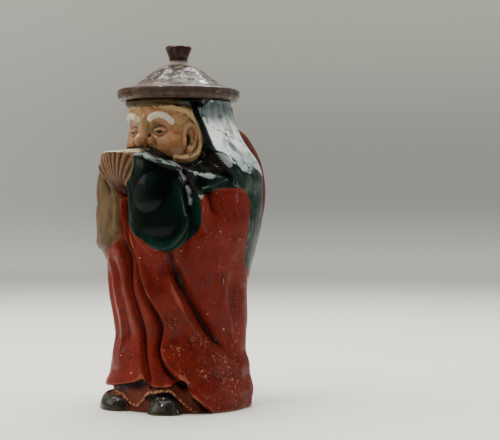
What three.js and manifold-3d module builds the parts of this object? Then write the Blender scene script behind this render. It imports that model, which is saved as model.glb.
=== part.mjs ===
// Lidded figural jug: a robed, bearded elder whose head is the neck of the jug, with a loop handle
// behind and a domed lid with a waisted knob. Millimetres, +Z up. The origin is the centre of the
// underside on the axis of the jug, and the figure faces -Y.
import * as THREE from 'three'
import { mergeVertices } from 'three/addons/utils/BufferGeometryUtils.js'
import Module from 'manifold-3d'

// Driving sizes of the vessel.
const figureHeight = 197.5
const wall = 4.6
const floorThickness = 7
const neckRadius = 34.6
const rimWall = 5.1

// Driving sizes of the handle. The finger gap is clear of the widest part of the back.
const fingerGap = 22
const handleWidth = 16
const handleThickness = 8
const handleTurn = 6

// Driving sizes of the lid. The seat gap keeps the lid and the rim apart where they touch.
const brimOverhang = 5.2
const brimThickness = 7.6
const crownRise = 2.6
const domeHeight = 13.5
const lidWall = 4.6
const flangeDepth = 6
const flangeClearance = 1
const seatGap = 0.3
const knobHeight = 13
const knobRadius = 8.5
const knobWaist = 5.9

// The carving below is drawn on a figure of this height, and is scaled with the real one.
const drawnHeight = 197.5
const drawnGirth = 48
const scale = figureHeight / drawnHeight
const degree = Math.PI / 180

// Small functions that shape a surface: angles in degrees from the front, positive to the figure's
// left, heights and depths in drawn millimetres.
const clamp = (x, low, high) => Math.min(Math.max(x, low), high)
const wrap = angle => ((angle + 180) % 360 + 360) % 360 - 180

function ease(from, to, x) {
  const t = clamp((x - from) / (to - from), 0, 1)
  return t * t * (3 - 2 * t)
}

// A smooth curve through [place, value] stations, with no overshoot between them.
function curveThrough(points) {
  const rises = points.slice(1).map(([x, y], i) => (y - points[i][1]) / (x - points[i][0]))
  const slopes = points.map((point, i) => {
    if (i === 0) return rises[0]
    if (i === points.length - 1) return rises[i - 1]
    const [before, after] = [rises[i - 1], rises[i]]
    if (before * after <= 0) return 0
    const limit = 3 * Math.min(Math.abs(before), Math.abs(after))
    return clamp((before + after) / 2, -limit, limit)
  })
  return place => {
    const x = clamp(place, points[0][0], points.at(-1)[0])
    let i = 0
    while (i < points.length - 2 && x > points[i + 1][0]) i += 1
    const [[x0, y0], [x1, y1]] = [points[i], points[i + 1]]
    const h = x1 - x0
    const t = (x - x0) / h
    const start = (2 * t - 3) * t * t + 1
    const end = 1 - start
    return start * y0 + end * y1 + (t - 1) * (t - 1) * t * h * slopes[i] + (t - 1) * t * t * h * slopes[i + 1]
  }
}

// A rounded swelling: full height at its middle, nothing past its width and height.
function swelling([angle, height], [width, tall], rise, power = 1, girth = drawnGirth) {
  return (theta, z) => {
    const across = wrap(theta - angle) * degree * girth / width
    const along = (z - height) / tall
    return rise * Math.max(0, 1 - across * across - along * along) ** power
  }
}

// Distance to a course drawn on the unrolled surface, positive on the right of its travel, and the
// share of the course passed there.
function courseAt(points, girth = drawnGirth) {
  const curve = new THREE.SplineCurve(points.map(([angle, z]) => new THREE.Vector2(angle, z)))
  const spots = curve.getPoints((points.length - 1) * 5)
  const middle = points.reduce((sum, [angle]) => sum + angle, 0) / points.length
  const flat = spots.map(spot => [spot.x * degree * girth, spot.y])
  const lengths = flat.slice(1).map(([x, y], i) => Math.hypot(x - flat[i][0], y - flat[i][1]))
  const total = lengths.reduce((sum, length) => sum + length, 0)
  return (theta, z) => {
    const u = (wrap(theta - middle) + middle) * degree * girth
    let nearest = { gap: Infinity, side: 0, part: 0 }
    let passed = 0
    lengths.forEach((length, i) => {
      const [ax, ay] = flat[i]
      const dx = (flat[i + 1][0] - ax) / length
      const dy = (flat[i + 1][1] - ay) / length
      const along = clamp((u - ax) * dx + (z - ay) * dy, 0, length)
      const offX = u - ax - along * dx
      const offY = z - ay - along * dy
      const gap = Math.hypot(offX, offY)
      if (gap < nearest.gap) {
        const side = dx * offY - dy * offX > 0 ? -gap : gap
        nearest = { gap, side, part: (passed + along) / total }
      }
      passed += length
    })
    return nearest
  }
}

const crest = (side, left, right) => Math.exp(-((side / (side < 0 ? left : right)) ** 2))

// A fold along a course: a crest with a flank of its own width on each side, fading at both ends.
function foldAlong(points, rise, left, right, fades = [0.15, 0.25], girth = drawnGirth) {
  const course = courseAt(points, girth)
  return (theta, z) => {
    const { side, part } = course(theta, z)
    return rise * crest(side, left, right) * ease(0, fades[0], part) * ease(0, fades[1], 1 - part)
  }
}

const sumOf = forms => (theta, z) => forms.reduce((sum, form) => sum + form(theta, z), 0)

// The mantle's profiles, [height, radius]: down the back and sides, and down the front.
const backProfile = curveThrough([
  [0, 46.8], [5, 47.3], [11, 48.1], [21, 46.2], [28, 45.9], [37, 43.6], [46, 43.9], [58, 45.0],
  [74, 45.0], [87, 47.2], [100, 50.2], [115, 53.6], [131, 55.0], [150, 54.0], [160, 50.1],
  [166, 45.5], [172, 41.6], [178, 38.6], [186, 35.7], [193, 34.8], [198, 34.8]])
const frontProfile = curveThrough([
  [0, 45.6], [5, 46.4], [12, 46.8], [21, 44.8], [34, 43.0], [48, 39.6], [61, 41.4], [74, 43.8],
  [87, 45.4], [100, 48.6], [110, 50.0], [122, 50.2], [134, 49.6], [147, 48.8], [160, 48.6],
  [167, 47.0], [178, 42], [198, 37]])

// Height of the edge, round the figure, where the robe ends and the head begins, and how far up the
// slope from one to the other runs: steep in front of the face, soft on the shoulders.
const collarHeight = curveThrough([
  [-180, 150], [-96, 150], [-80, 151], [-56, 157.5], [-38, 164.6], [-22, 165.6], [-8, 165.6], [6, 165.4],
  [12, 163.6], [18, 164.8], [25, 163], [40, 158], [52, 155], [65, 151], [80, 149], [92, 150], [180, 150]])
const collarSlope = curveThrough([
  [-180, 2], [-116, 4], [-98, 12], [-82, 10], [-64, 2], [-30, 1], [44, 1], [62, 3], [72, 10],
  [92, 13], [108, 4], [180, 2]])

// Front edge of the long hair on each side, [height, angle].
const hairLeft = curveThrough([
  [140, 99], [146, 95], [151, 88], [158, 82], [163, 78], [167, 74], [180, 69.5], [194, 60], [198, 57]])
const hairRight = curveThrough([
  [140, -104], [151, -98], [160, -92], [167, -88], [180, -84], [194, -74], [198, -70]])

// Lower edges, [angle, height]: of the outer robe, and of the robe under it.
const outerHem = curveThrough([
  [-180, 3], [-100, 3], [-80, 8], [-60, 12], [-23, 14.6], [-6.7, 16.8], [10, 19.3], [19, 21.5],
  [23, 18.6], [31, 16.8], [40, 17.2], [50, 21], [54.5, 19], [58, 12], [62, 9], [71, 3.5], [82, -3],
  [180, -6]])
const innerHem = curveThrough([
  [-180, -4], [-82, -4], [-62, 4], [-48, 11], [-40, 13], [-35, 12.6], [-27, 10], [-8, 8.6], [1, 4.2],
  [9, 3.2], [15, 6.8], [21, 11.5], [28, 12.4], [39, 13.5], [47, 9.2], [55, 3.6], [62, 0], [72, -3],
  [180, -4]])

// The head is turned a little to the figure's left. The face is a plain, calm one, drawn by rule:
// eyes halfway between crown and chin, a nose two thirds of the way from brow to mouth.
const headTurn = 7
const headRadius = 35
const bothSides = make => [-1, 1].flatMap(make)
const faceForms = sumOf([
  swelling([0, 189], [22, 8], 1.2, 1, headRadius),
  swelling([0, 176], [4.6, 12], 3.8, 0.9, headRadius),
  swelling([0, 171.4], [5, 4.8], 4.4, 0.8, headRadius),
  ...bothSides(side => [
    swelling([side * 33, 168.5], [10, 9], 2.6, 1.2, headRadius),
    swelling([side * 20, 178], [7.6, 5.4], -1.6, 1, headRadius),
    swelling([side * 9, 170.6], [3.2, 3.2], 2.2, 0.8, headRadius),
    foldAlong([[side * 9, 185], [side * 17, 187.2], [side * 26, 186.6], [side * 34, 183]],
      2.2, 2, 2, [0.1, 0.15], headRadius),
  ]),
])
const hoodRim = courseAt([
  [-78, 152], [-86, 166], [-85, 180], [-66, 190], [-34, 194], [0, 194.5], [24, 194], [44.6, 191],
  [55, 188], [60.5, 183], [63.5, 176], [64.5, 169], [62, 164], [56, 161], [47, 159.6], [38, 160]])
const ears = sumOf([[1, 61], [-1, -66]].flatMap(([side, angle]) => [
  foldAlong([[angle - 5 * side, 165], [angle - 6 * side, 176], [angle, 181], [angle + 6 * side, 177],
    [angle + 5 * side, 170], [angle, 163.5]], 2, 1.6, 1.6, [0.1, 0.1]),
  swelling([angle - side, 165], [3, 3.6], 2.2, 0.8),
]))

function headRadiusAt(theta, z) {
  const turned = wrap(theta - headTurn)
  const farTemple = (2.2 - 1.2 * ease(184, 190, z)) * ease(-24, -44, turned) * ease(-104, -80, turned)
  const skull = 34.8 + 1.4 * ease(40, 120, Math.abs(turned)) - 1.6 * ease(66, 50, Math.abs(turned)) - farTemple
  const { side, part } = hoodRim(turned, z)
  const rim = crest(side, 2, 2) * (1 + 0.9 * ease(0.3, 0.6, part))
  return skull + faceForms(turned, z) + rim + ears(theta, z)
}

// Sleeves, each a swelling with a loose lower end that overhangs the robe.
const sleeves = [
  { angle: 33.5, halfWidth: 21.5, foot: 101.5, lift: 15, depth: 3 },
  { angle: -35, halfWidth: 29, foot: 102, lift: 9, depth: 0.9 },
]
function sleeveEnd({ angle, halfWidth, foot, lift, depth }) {
  return (theta, z) => {
    const off = Math.abs(theta - angle) / halfWidth
    const edge = foot + lift * Math.min(off, 1.3) ** 2.6
    const inside = ease(1.2, 0.95, off)
    const hollow = depth * ease(edge + 1.4, edge - 1.4, z) * ease(edge - 30, edge - 5, z)
    return inside * (1.5 * Math.exp(-(((z - edge - 3.2) / 4.2) ** 2)) - hollow)
  }
}

// The pleated cuff that is held up to the mouth.
const cuffCourse = courseAt([[-4, 170], [-3, 139]])
const cuffHalfWidth = curveThrough([[0, 15], [0.3, 14.5], [0.58, 12], [0.76, 7.6], [0.9, 3.6], [1, 1.8]])
const cuffRise = curveThrough([[0, 7.5], [0.5, 6], [0.85, 3.4], [1, 0]])
function cuff(theta, z) {
  const { side, part } = cuffCourse(theta, z)
  const round = Math.max(0, 1 - (side / cuffHalfWidth(part)) ** 2) ** 0.6
  return ease(166.6, 165, z) * cuffRise(part) * round
}

// Folds of the mantle: crests with a positive rise and valleys with a negative one.
const folds = sumOf([
  foldAlong([[49, 161], [53, 150], [56, 139], [60, 124], [65, 110]], -4.6, 4.2, 4.6, [0.1, 0.3]),
  foldAlong([[-62, 158], [-68, 142], [-72, 124], [-77, 108]], -4, 4.2, 4.6, [0.1, 0.3]),
  foldAlong([[70, 142], [71, 132], [75, 118]], -2.4, 3, 3.4, [0.15, 0.4]),
  foldAlong([[-21, 160], [-15, 150], [-9, 141], [-5, 132], [-4, 120], [-2, 106]], 2.4, 3, 1.6, [0.12, 0.3]),
  foldAlong([[0, 137], [0, 131], [0.6, 125], [2, 118], [3, 109], [6, 96]], 4.4, 1.6, 1.8, [0.1, 0.35]),
  foldAlong([[36, 108], [38, 97], [44.8, 80], [49, 69], [55, 58.7], [62, 49], [70, 39.7], [79, 30.5],
    [95, 20]], 2.4, 7, 3.4, [0.06, 0.25]),
  foldAlong([[40, 104], [44, 93], [51, 82], [59, 70.8], [67.5, 60.1], [79, 49.1], [92, 38]],
    -4.6, 3.6, 5.6, [0.05, 0.35]),
  foldAlong([[61, 140], [67.4, 130.4], [77, 112], [86, 98]], 2.2, 3.4, 2.6, [0.15, 0.35]),
  foldAlong([[84, 92], [88, 74], [98, 56], [112, 44]], 1.6, 6, 5, [0.3, 0.3]),
  foldAlong([[96, 96], [99, 74], [108, 56], [124, 42]], -2.2, 5, 5, [0.3, 0.3]),
  foldAlong([[-22, 100], [-18, 84], [-14, 60], [-14, 26]], 1.6, 4, 3, [0.1, 0.3]),
  foldAlong([[-15, 98], [-11, 84], [-7, 60], [-6, 34]], -1.4, 3, 3, [0.1, 0.3]),
  foldAlong([[-44, 98], [-42, 70], [-44, 30]], 1.5, 5, 4, [0.2, 0.3]),
  foldAlong([[-34, 96], [-32, 70], [-33, 34]], -1.3, 4, 4, [0.2, 0.3]),
  foldAlong([[14, 94], [20, 72], [24, 50], [26, 30]], 1.3, 5, 4, [0.2, 0.3]),
])
const arms = sumOf([
  swelling([34, 124], [19, 28], 3.2, 0.9),
  swelling([26, 148], [13, 22], 3, 0.9),
  swelling([-34, 124], [24, 30], 3.4, 0.9),
  swelling([-26, 150], [14, 20], 3, 0.9),
  swelling([66, 128], [4.5, 15], 2.2),
  swelling([86, 122], [17, 28], 1.8),
  swelling([-94, 122], [18, 28], 1.4),
  ...sleeves.map(sleeveEnd),
])

// Two panels lapped down the front: the edge of each stands up over a groove.
const leftPanel = courseAt([
  [4, 118], [9.3, 107], [15, 94], [20.5, 79], [26.6, 69], [32.5, 61], [35.6, 54], [33.6, 45],
  [33.6, 38], [40, 29], [53, 20]])
const rightPanel = courseAt([
  [-8, 112], [-1, 100], [1, 84], [3.4, 72], [9, 56.5], [13, 41.7], [17, 30], [21, 21]])
const sleeveGap = courseAt([[-2, 146], [0, 138], [1, 128], [2, 118], [4, 108], [6, 94], [8, 78]])
function laps(theta, z) {
  const left = leftPanel(theta, z)
  const right = rightPanel(theta, z)
  const gap = sleeveGap(theta, z)
  return ease(0, 0.12, left.part) * (1.7 * crest(left.side, 6.5, 2) - 3.4 * crest(left.side - 2.8, 2.2, 2.2))
    + ease(0, 0.12, right.part) * (1.3 * crest(right.side, 2, 7) - 2.6 * crest(right.side + 2.5, 2.2, 2.2))
    - 6.4 * crest(gap.side, 4.4, 5) * ease(76, 108, z) * ease(150, 136, z)
}

// Soft hanging ripples of the mantle behind.
function ripples(theta, z) {
  const angle = theta * degree
  const low = Math.sin(angle * 9 + 0.7 + z * 0.012) + 0.5 * Math.sin(angle * 15 - 1.1 - z * 0.02)
  const high = 0.6 * Math.sin(angle * 7 + z * 0.02)
  return ease(112, 60, z) * low + ease(60, 110, z) * ease(170, 140, z) * high
}

// The lower edge of the shawl, a low step across each shoulder.
function shawlStep(theta, z) {
  const across = ease(59, 69, theta) * ease(110, 98, theta) + ease(-111, -101, theta) * ease(-70, -82, theta)
  return 1.3 * across * ease(138.8, 141.4, z) * ease(156, 147, z)
}

// Shoe tips under the hems.
const shoes = [
  swelling([-23, 1.5], [17.5, 11.5], 12, 0.45),
  swelling([36, -1], [13.5, 11], 9.6, 0.5),
]
const underRobe = 5.5
const footRadius = 40.5

function robeRadiusAt(theta, z) {
  const behind = ease(56, 104, Math.abs(theta - 22))
  const profile = frontProfile(z) + (backProfile(z) - frontProfile(z)) * behind
  const hem = outerHem(theta)
  const under = innerHem(theta)
  const rolledHem = 1.2 * crest(z - hem - 2, 4, 4) * ease(-3, 4, hem)
  const outer = profile + behind * ripples(theta, z) + arms(theta, z) + shawlStep(theta, z)
    + cuff(theta, z) + folds(theta, z) + laps(theta, z) + rolledHem
  const inner = outer - underRobe + crest(z - under - 1.2, 2.2, 2.2)
  const foot = footRadius + Math.max(...shoes.map(shoe => shoe(theta, z)))
  const below = foot + (inner - foot) * ease(under - 0.6, under + 0.6, z)
  return below + (outer - below) * ease(hem - 0.7, hem + 0.7, z)
}

// Radius of the whole figure at an angle and a drawn height: robe, shoulders, head and hair, and a
// plain band under the lid.
function figureRadiusAt(angle, z) {
  const theta = wrap(angle)
  const head = headRadiusAt(theta, z)
  const slope = collarSlope(theta)
  const collar = collarHeight(theta)
  const cloth = ease(collar + slope, collar - 2.2, z) ** (slope > 6 ? 0.8 : 0.5)
  const clothed = head + Math.max(robeRadiusAt(theta, z) - head, 0) * cloth
  const left = ease(hairLeft(z) - 3, hairLeft(z) + 3, theta)
  const right = ease(hairRight(z) + 3, hairRight(z) - 3, theta)
  const hair = Math.max(backProfile(z) + 0.9 * ease(196, 190, z), clothed - 1.5)
  const haired = clothed + (hair - clothed) * Math.max(left, right) * ease(136, 148, z)
  return haired + (neckRadius / scale - haired) * ease(193.5, 195.5, z)
}
const radiusAt = (theta, height) => scale * figureRadiusAt(theta, height / scale)

// Places between the ends of each band, evenly spread: [from, to, how many steps].
function spread(bands) {
  const places = bands.flatMap(([from, to, count]) =>
    Array.from({ length: count }, (unused, i) => from + (to - from) * i / count))
  return [...places, bands.at(-1)[1]]
}

// The rows of the carved surface follow its edges round the figure: the two hems, the lower ends of
// the sleeves and the collar. The columns are closer together in front.
const sleeveLine = curveThrough([
  [-180, 104], [-76, 104], [-64, 111], [-50, 104], [-35, 102], [-20, 104], [-6, 111], [4, 112],
  [12, 114], [22, 103.5], [33.5, 101.5], [45, 103.5], [55, 114], [66, 108], [80, 104], [180, 104]])
function rowsAt(theta) {
  const hem = clamp(outerHem(theta), 5, 22)
  const under = clamp(innerHem(theta), 1.6, hem - 2.4)
  const cuffs = sleeveLine(theta)
  const collar = collarHeight(theta)
  const shoulder = collar + collarSlope(theta)
  return spread([
    [0, under - 0.6, 2], [under - 0.6, under + 0.6, 1], [under + 0.6, hem - 0.8, 2],
    [hem - 0.8, hem + 0.8, 1], [hem + 0.8, cuffs - 1.6, 12], [cuffs - 1.6, cuffs + 1.6, 2],
    [cuffs + 1.6, collar - 2.6, 8], [collar - 2.6, shoulder, 2], [shoulder, 193, 13],
    [193, drawnHeight, 2]]).map(z => z * scale)
}
const columns = spread([[-76, 112, 56], [112, 284, 16]])

// A closed solid of revolution whose vertices are then set by a radius function.
function carvedSolid(angles, heightsAt, radius) {
  const rows = heightsAt(0).length
  const profile = Array.from({ length: rows + 2 }, (unused, j) =>
    new THREE.Vector2(j === 0 || j > rows ? 0 : 1, clamp(j - 1, 0, rows - 1)))
  const geometry = new THREE.LatheGeometry(profile, angles.length - 1)
  const position = geometry.getAttribute('position')
  angles.forEach((theta, i) => {
    const heights = heightsAt(wrap(theta))
    profile.forEach(({ x: onWall, y: row }, j) => {
      const r = onWall * radius(theta, heights[row])
      const spot = i * profile.length + j
      position.setXYZ(spot, r * Math.sin(theta * degree), -r * Math.cos(theta * degree), heights[row])
    })
  })
  return geometry
}

// The inside follows the outside at the wall's thickness, smoothed by taking the least radius
// nearby, and ends in a round mouth that the lid's flange enters.
const mouthRadius = neckRadius - rimWall
const mouthFoot = figureHeight - flangeDepth - 2
const throatFoot = mouthFoot - 3
function insideRadiusAt(theta, height) {
  if (height >= mouthFoot) return mouthRadius
  const near = [-12, -6, 0, 6, 12].flatMap(turn =>
    [-6, 0, 6].map(rise => radiusAt(theta + turn, clamp(height + rise, floorThickness, figureHeight - 4))))
  return Math.min(...near) - wall
}
const insideRows = spread([
  [floorThickness, 0.15 * figureHeight, 2], [0.15 * figureHeight, 0.74 * figureHeight, 6],
  [0.74 * figureHeight, 0.87 * figureHeight, 2], [0.87 * figureHeight, throatFoot, 1],
  [throatFoot, mouthFoot, 1], [mouthFoot, figureHeight + 1, 1]])
const insideColumns = spread([[-180, 180, 24]])

// Handle: a flat strap with round edges, from the hair to the small of the back, turned a little to
// the figure's right.
function handleGeometry() {
  const backRadius = backProfile(131) * scale
  const reach = fingerGap + handleThickness / 2
  const spot = (out, share) => [backRadius + out * reach, share * figureHeight]
  const joint = share => [radiusAt(180 + handleTurn, share * figureHeight) - wall / 2, share * figureHeight]
  const bow = [[0.05, 0.906], [0.46, 0.866], [0.79, 0.813], [0.95, 0.757], [1, 0.7], [0.92, 0.637],
    [0.68, 0.573], [0.2, 0.522]]
  const path = [joint(0.926), ...bow.map(([out, share]) => spot(out, share)), joint(0.5)]
  const curve = new THREE.CatmullRomCurve3(path.map(([r, z]) => new THREE.Vector3(0, r, z)))
  const outline = new THREE.Shape()
  outline.absellipse(0, 0, handleWidth / 2, handleThickness / 2, 0, 2 * Math.PI)
  return new THREE.ExtrudeGeometry(outline, { extrudePath: curve, steps: 20, curveSegments: 6 })
    .rotateZ(handleTurn * degree)
}

// Lid, from under the top of its dome out to the flange, the brim and up over the dome to the knob.
function lidGeometry() {
  const seat = figureHeight + seatGap
  const brimRadius = neckRadius + brimOverhang
  const flangeRadius = mouthRadius - flangeClearance
  const inside = flangeRadius - lidWall
  const brimTop = seat + brimThickness
  const domeFoot = brimTop + crownRise
  const domeTop = domeFoot + domeHeight
  const top = domeTop + knobHeight
  const ceiling = domeTop - lidWall
  const point = (r, z) => new THREE.Vector2(r, z)
  const hollow = new THREE.QuadraticBezierCurve(
    point(0, ceiling), point(0.84 * inside, ceiling - 3), point(inside, brimTop))
  const dome = new THREE.QuadraticBezierCurve(
    point(flangeRadius + 0.4, domeFoot), point(0.71 * flangeRadius, domeFoot + 0.61 * domeHeight),
    point(knobWaist + 2, domeTop))
  const edge = [[3, 0.04], [1, 0.18], [0.15, 0.4], [0, 0.63], [0.3, 0.87], [1.3, 1]]
    .map(([inward, share]) => point(brimRadius - inward, seat + share * brimThickness))
  const shoulder = [[3.2, 0.5], [6.3, 1], [8.7, 1.7]]
    .map(([inward, rise]) => point(brimRadius - inward, brimTop + rise / 2.6 * crownRise))
  const knob = [[knobWaist + 0.7, 1.1], [knobWaist, 3.1], [knobWaist + 0.4, 5.6], [knobWaist + 1.6, 8],
    [knobRadius, 10.4], [knobRadius, 11.6], [knobRadius - 1.2, 12.8]]
  const outline = [
    ...hollow.getPoints(4), point(inside, seat - flangeDepth), point(flangeRadius, seat - flangeDepth),
    point(flangeRadius, seat), ...edge, ...shoulder, ...dome.getPoints(5), ...knob.map(([r, z]) => point(r, domeTop + z * knobHeight / 13)), point(0, top)]
  return new THREE.LatheGeometry(outline, 32).rotateX(Math.PI / 2)
}

// Joining and cutting of closed solids.
const wasm = await Module()
wasm.setup()

function solidOf(geometry) {
  const plain = geometry.clone()
  plain.deleteAttribute('normal')
  plain.deleteAttribute('uv')
  const merged = mergeVertices(plain, 0.001)
  const corners = Array.from(merged.index.array)
  const triangles = []
  for (let i = 0; i < corners.length; i += 3) {
    const [a, b, c] = corners.slice(i, i + 3)
    if (a !== b && b !== c && c !== a) triangles.push(a, b, c)
  }
  return new wasm.Manifold(new wasm.Mesh({
    numProp: 3,
    vertProperties: new Float32Array(merged.getAttribute('position').array),
    triVerts: new Uint32Array(triangles),
  }))
}

function geometryOf(solid) {
  const mesh = solid.getMesh()
  const geometry = new THREE.BufferGeometry()
  geometry.setAttribute('position', new THREE.BufferAttribute(mesh.vertProperties, 3))
  geometry.setIndex(new THREE.BufferAttribute(mesh.triVerts, 1))
  geometry.computeVertexNormals()
  return geometry
}

function node(name, geometry, colour, roughness, metalness) {
  const material = new THREE.MeshStandardMaterial({ color: colour, roughness, metalness })
  const mesh = new THREE.Mesh(geometry, material)
  mesh.name = name
  return mesh
}

const outside = solidOf(carvedSolid(columns, rowsAt, radiusAt))
const inside = solidOf(carvedSolid(insideColumns, () => insideRows, insideRadiusAt))
const handle = solidOf(handleGeometry())
const jug = outside.add(handle).subtract(inside)

const group = new THREE.Group()
group.add(node('jug_body', geometryOf(jug), 0x7a2f22, 0.5, 0))
group.add(node('lid', geometryOf(solidOf(lidGeometry())), 0x4a2e26, 0.3, 0))

export default group
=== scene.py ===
"""Looks of the lidded figural jug: a robed elder modelled in fired clay, with a dry brick-red slip,
a thick dark green glaze, a running opal-white glaze and an iron-brown lid."""
import math

import bmesh
import bpy
import numpy as np
from mathutils import Matrix, Vector


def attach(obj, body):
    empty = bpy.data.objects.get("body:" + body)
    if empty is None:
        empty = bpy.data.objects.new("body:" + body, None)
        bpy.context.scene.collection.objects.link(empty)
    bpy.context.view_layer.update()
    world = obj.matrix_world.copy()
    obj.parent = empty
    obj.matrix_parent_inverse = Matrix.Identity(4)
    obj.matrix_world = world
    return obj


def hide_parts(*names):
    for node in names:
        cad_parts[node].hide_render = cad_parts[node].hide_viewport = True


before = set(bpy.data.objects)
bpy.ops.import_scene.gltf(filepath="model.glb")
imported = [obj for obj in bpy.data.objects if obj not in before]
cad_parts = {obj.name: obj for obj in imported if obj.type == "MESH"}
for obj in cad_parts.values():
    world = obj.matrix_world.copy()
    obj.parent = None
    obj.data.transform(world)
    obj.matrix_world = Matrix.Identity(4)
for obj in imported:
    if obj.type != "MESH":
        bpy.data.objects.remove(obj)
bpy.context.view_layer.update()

# Sizes are millimetres and angles are degrees from the figure's front, positive to its left.
MM = 0.001
DEGREE = math.pi / 180

# Vessel, handle and lid, as the frame has them.
FIGURE_HEIGHT = 197.5
NECK_RADIUS = 34.6
MOUTH_RADIUS = 29.5
MOUTH_FOOT = 189.5
FLOOR = 7.0
WALL = 4.6
FINGER_GAP = 22.0
HANDLE_WIDTH = 16.0
HANDLE_THICKNESS = 8.0
HANDLE_ANGLE = 186
SEAT_GAP = 0.3
BRIM_RADIUS = 39.8
BRIM_THICKNESS = 7.6
CROWN_RISE = 2.6
DOME_HEIGHT = 13.5
KNOB_HEIGHT = 13.0
KNOB_RADIUS = 8.5
KNOB_WAIST = 5.9
FLANGE_RADIUS = 28.5
FLANGE_DEPTH = 6.0
LID_WALL = 4.6
RIM_ROUNDING = 0.8
FOOT_ROUNDING = 1.1

# Heights of the lid as it rests.
LID_SEAT = FIGURE_HEIGHT + SEAT_GAP
BRIM_TOP = LID_SEAT + BRIM_THICKNESS
DOME_FOOT = BRIM_TOP + CROWN_RISE
DOME_TOP = DOME_FOOT + DOME_HEIGHT
KNOB_TOP = DOME_TOP + KNOB_HEIGHT

# How far a degree reaches round the robe and round the head.
GIRTH = 48.0
HEAD_GIRTH = 35.0


# Functions that shape a surface, over whole arrays of angles and heights.

def ease(start, end, x):
    """Smoothly from nothing at the start to one at the end."""
    t = np.clip((x - start) / (end - start), 0, 1)
    return t * t * (3 - 2 * t)


def wrap(angle):
    """The same angle, between -180 and 180."""
    return (angle + 180) % 360 - 180


def curve_through(points):
    """A smooth curve through (place, value) stations, with no overshoot between them."""
    xs, ys = np.array(points, float).T
    rises = np.diff(ys) / np.diff(xs)
    slopes = np.concatenate([rises[:1], (rises[:-1] + rises[1:]) / 2, rises[-1:]])
    limits = 3 * np.minimum(abs(rises[:-1]), abs(rises[1:]))
    slopes[1:-1] = np.where(rises[:-1] * rises[1:] <= 0, 0, np.clip(slopes[1:-1], -limits, limits))

    def value(place):
        x = np.clip(place, xs[0], xs[-1])
        i = np.clip(np.searchsorted(xs, x, side="right") - 1, 0, len(xs) - 2)
        h = xs[i + 1] - xs[i]
        t = (x - xs[i]) / h
        start = (2 * t - 3) * t * t + 1
        swing = (t - 1)**2 * t * slopes[i] + (t - 1) * t * t * slopes[i + 1]
        return start * ys[i] + (1 - start) * ys[i + 1] + h * swing
    return value


def swelling(theta, z, spot, size, rise, power=1.0, girth=GIRTH):
    """A rounded swelling: full height at its middle, nothing past its width and height."""
    across = wrap(theta - spot[0]) * DEGREE * girth / size[0]
    along = (z - spot[1]) / size[1]
    return rise * np.clip(1 - across**2 - along**2, 0, None)**power


def smooth_course(points, steps=5):
    """Points of a smooth line through the given ones."""
    p = np.array(points, float)
    q = np.concatenate([p[:1], p, p[-1:]])
    t = np.arange(steps)[:, None] / steps
    parts = [0.5 * (2 * b + (c - a) * t + (2 * a - 5 * b + 4 * c - d) * t**2 + (3 * b - a - 3 * c + d) * t**3)
             for a, b, c, d in zip(q, q[1:], q[2:], q[3:])]
    return np.concatenate(parts + [p[-1:]])


def beside(theta, z, points, girth=GIRTH):
    """Distance to a course on the unrolled surface, positive on the right of its travel, and the
    share of the course passed there."""
    spots = smooth_course(points)
    middle = np.mean([angle for angle, _ in points])
    spots[:, 0] *= DEGREE * girth
    u = (wrap(theta - middle) + middle) * DEGREE * girth
    steps = np.diff(spots, axis=0)
    lengths = np.maximum(np.hypot(*steps.T), 1e-9)
    passed = np.concatenate([[0], np.cumsum(lengths)])
    nearest = np.full(u.shape, np.inf)
    side = np.zeros(u.shape)
    part = np.zeros(u.shape)
    for (ax, ay), (dx, dy), length, before in zip(spots, steps / lengths[:, None], lengths, passed):
        along = np.clip((u - ax) * dx + (z - ay) * dy, 0, length)
        off_x = u - ax - along * dx
        off_z = z - ay - along * dy
        gap = np.hypot(off_x, off_z)
        closer = gap < nearest
        nearest = np.where(closer, gap, nearest)
        side = np.where(closer, np.where(dx * off_z - dy * off_x > 0, -gap, gap), side)
        part = np.where(closer, (before + along) / passed[-1], part)
    return side, part


def crest(side, left, right):
    """A rounded ridge of height one, with a width of its own on each side."""
    return np.exp(-(side / np.where(side < 0, left, right))**2)


def fold(theta, z, points, rise, left, right, fades=(0.15, 0.25), girth=GIRTH):
    """A crest along a course with a flank of its own width on each side, fading at both ends."""
    side, part = beside(theta, z, points, girth)
    return rise * crest(side, left, right) * ease(0, fades[0], part) * ease(0, fades[1], 1 - part)


def within(theta, z, corners, girth=GIRTH):
    """Distance inside the edge of a closed smooth outline on the unrolled surface, negative outside."""
    spots = smooth_course(corners + corners[:1])
    middle = np.mean([angle for angle, _ in corners])
    spots[:, 0] *= DEGREE * girth
    u = (wrap(theta - middle) + middle) * DEGREE * girth
    nearest = np.full(u.shape, np.inf)
    inside = np.zeros(u.shape, bool)
    for (ax, ay), (bx, by) in zip(spots, spots[1:]):
        run = max(math.hypot(bx - ax, by - ay), 1e-9)
        dx = (bx - ax) / run
        dy = (by - ay) / run
        along = np.clip((u - ax) * dx + (z - ay) * dy, 0, run)
        nearest = np.minimum(nearest, np.hypot(u - ax - along * dx, z - ay - along * dy))
        crossing = (ay > z) != (by > z)
        if by != ay:
            inside ^= crossing & (u < ax + (z - ay) * (bx - ax) / (by - ay))
    return np.where(inside, nearest, -nearest)


def unevenness(theta, z, size):
    """A gentle hand-made unevenness between -1 and 1, about this many millimetres across."""
    u = theta * DEGREE * GIRTH
    turns = [(1.0, 0.35, 0.0), (-0.45, 0.9, 1.7), (0.7, -0.75, 4.1), (0.2, 1.15, 2.6)]
    waves = [np.sin((u * a + z * b) * 2 * math.pi / size / 2 + c + 0.8 * np.sin(z / size / 2 + 3 * c))
             for a, b, c in turns]
    return sum(waves) / len(waves)


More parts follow.
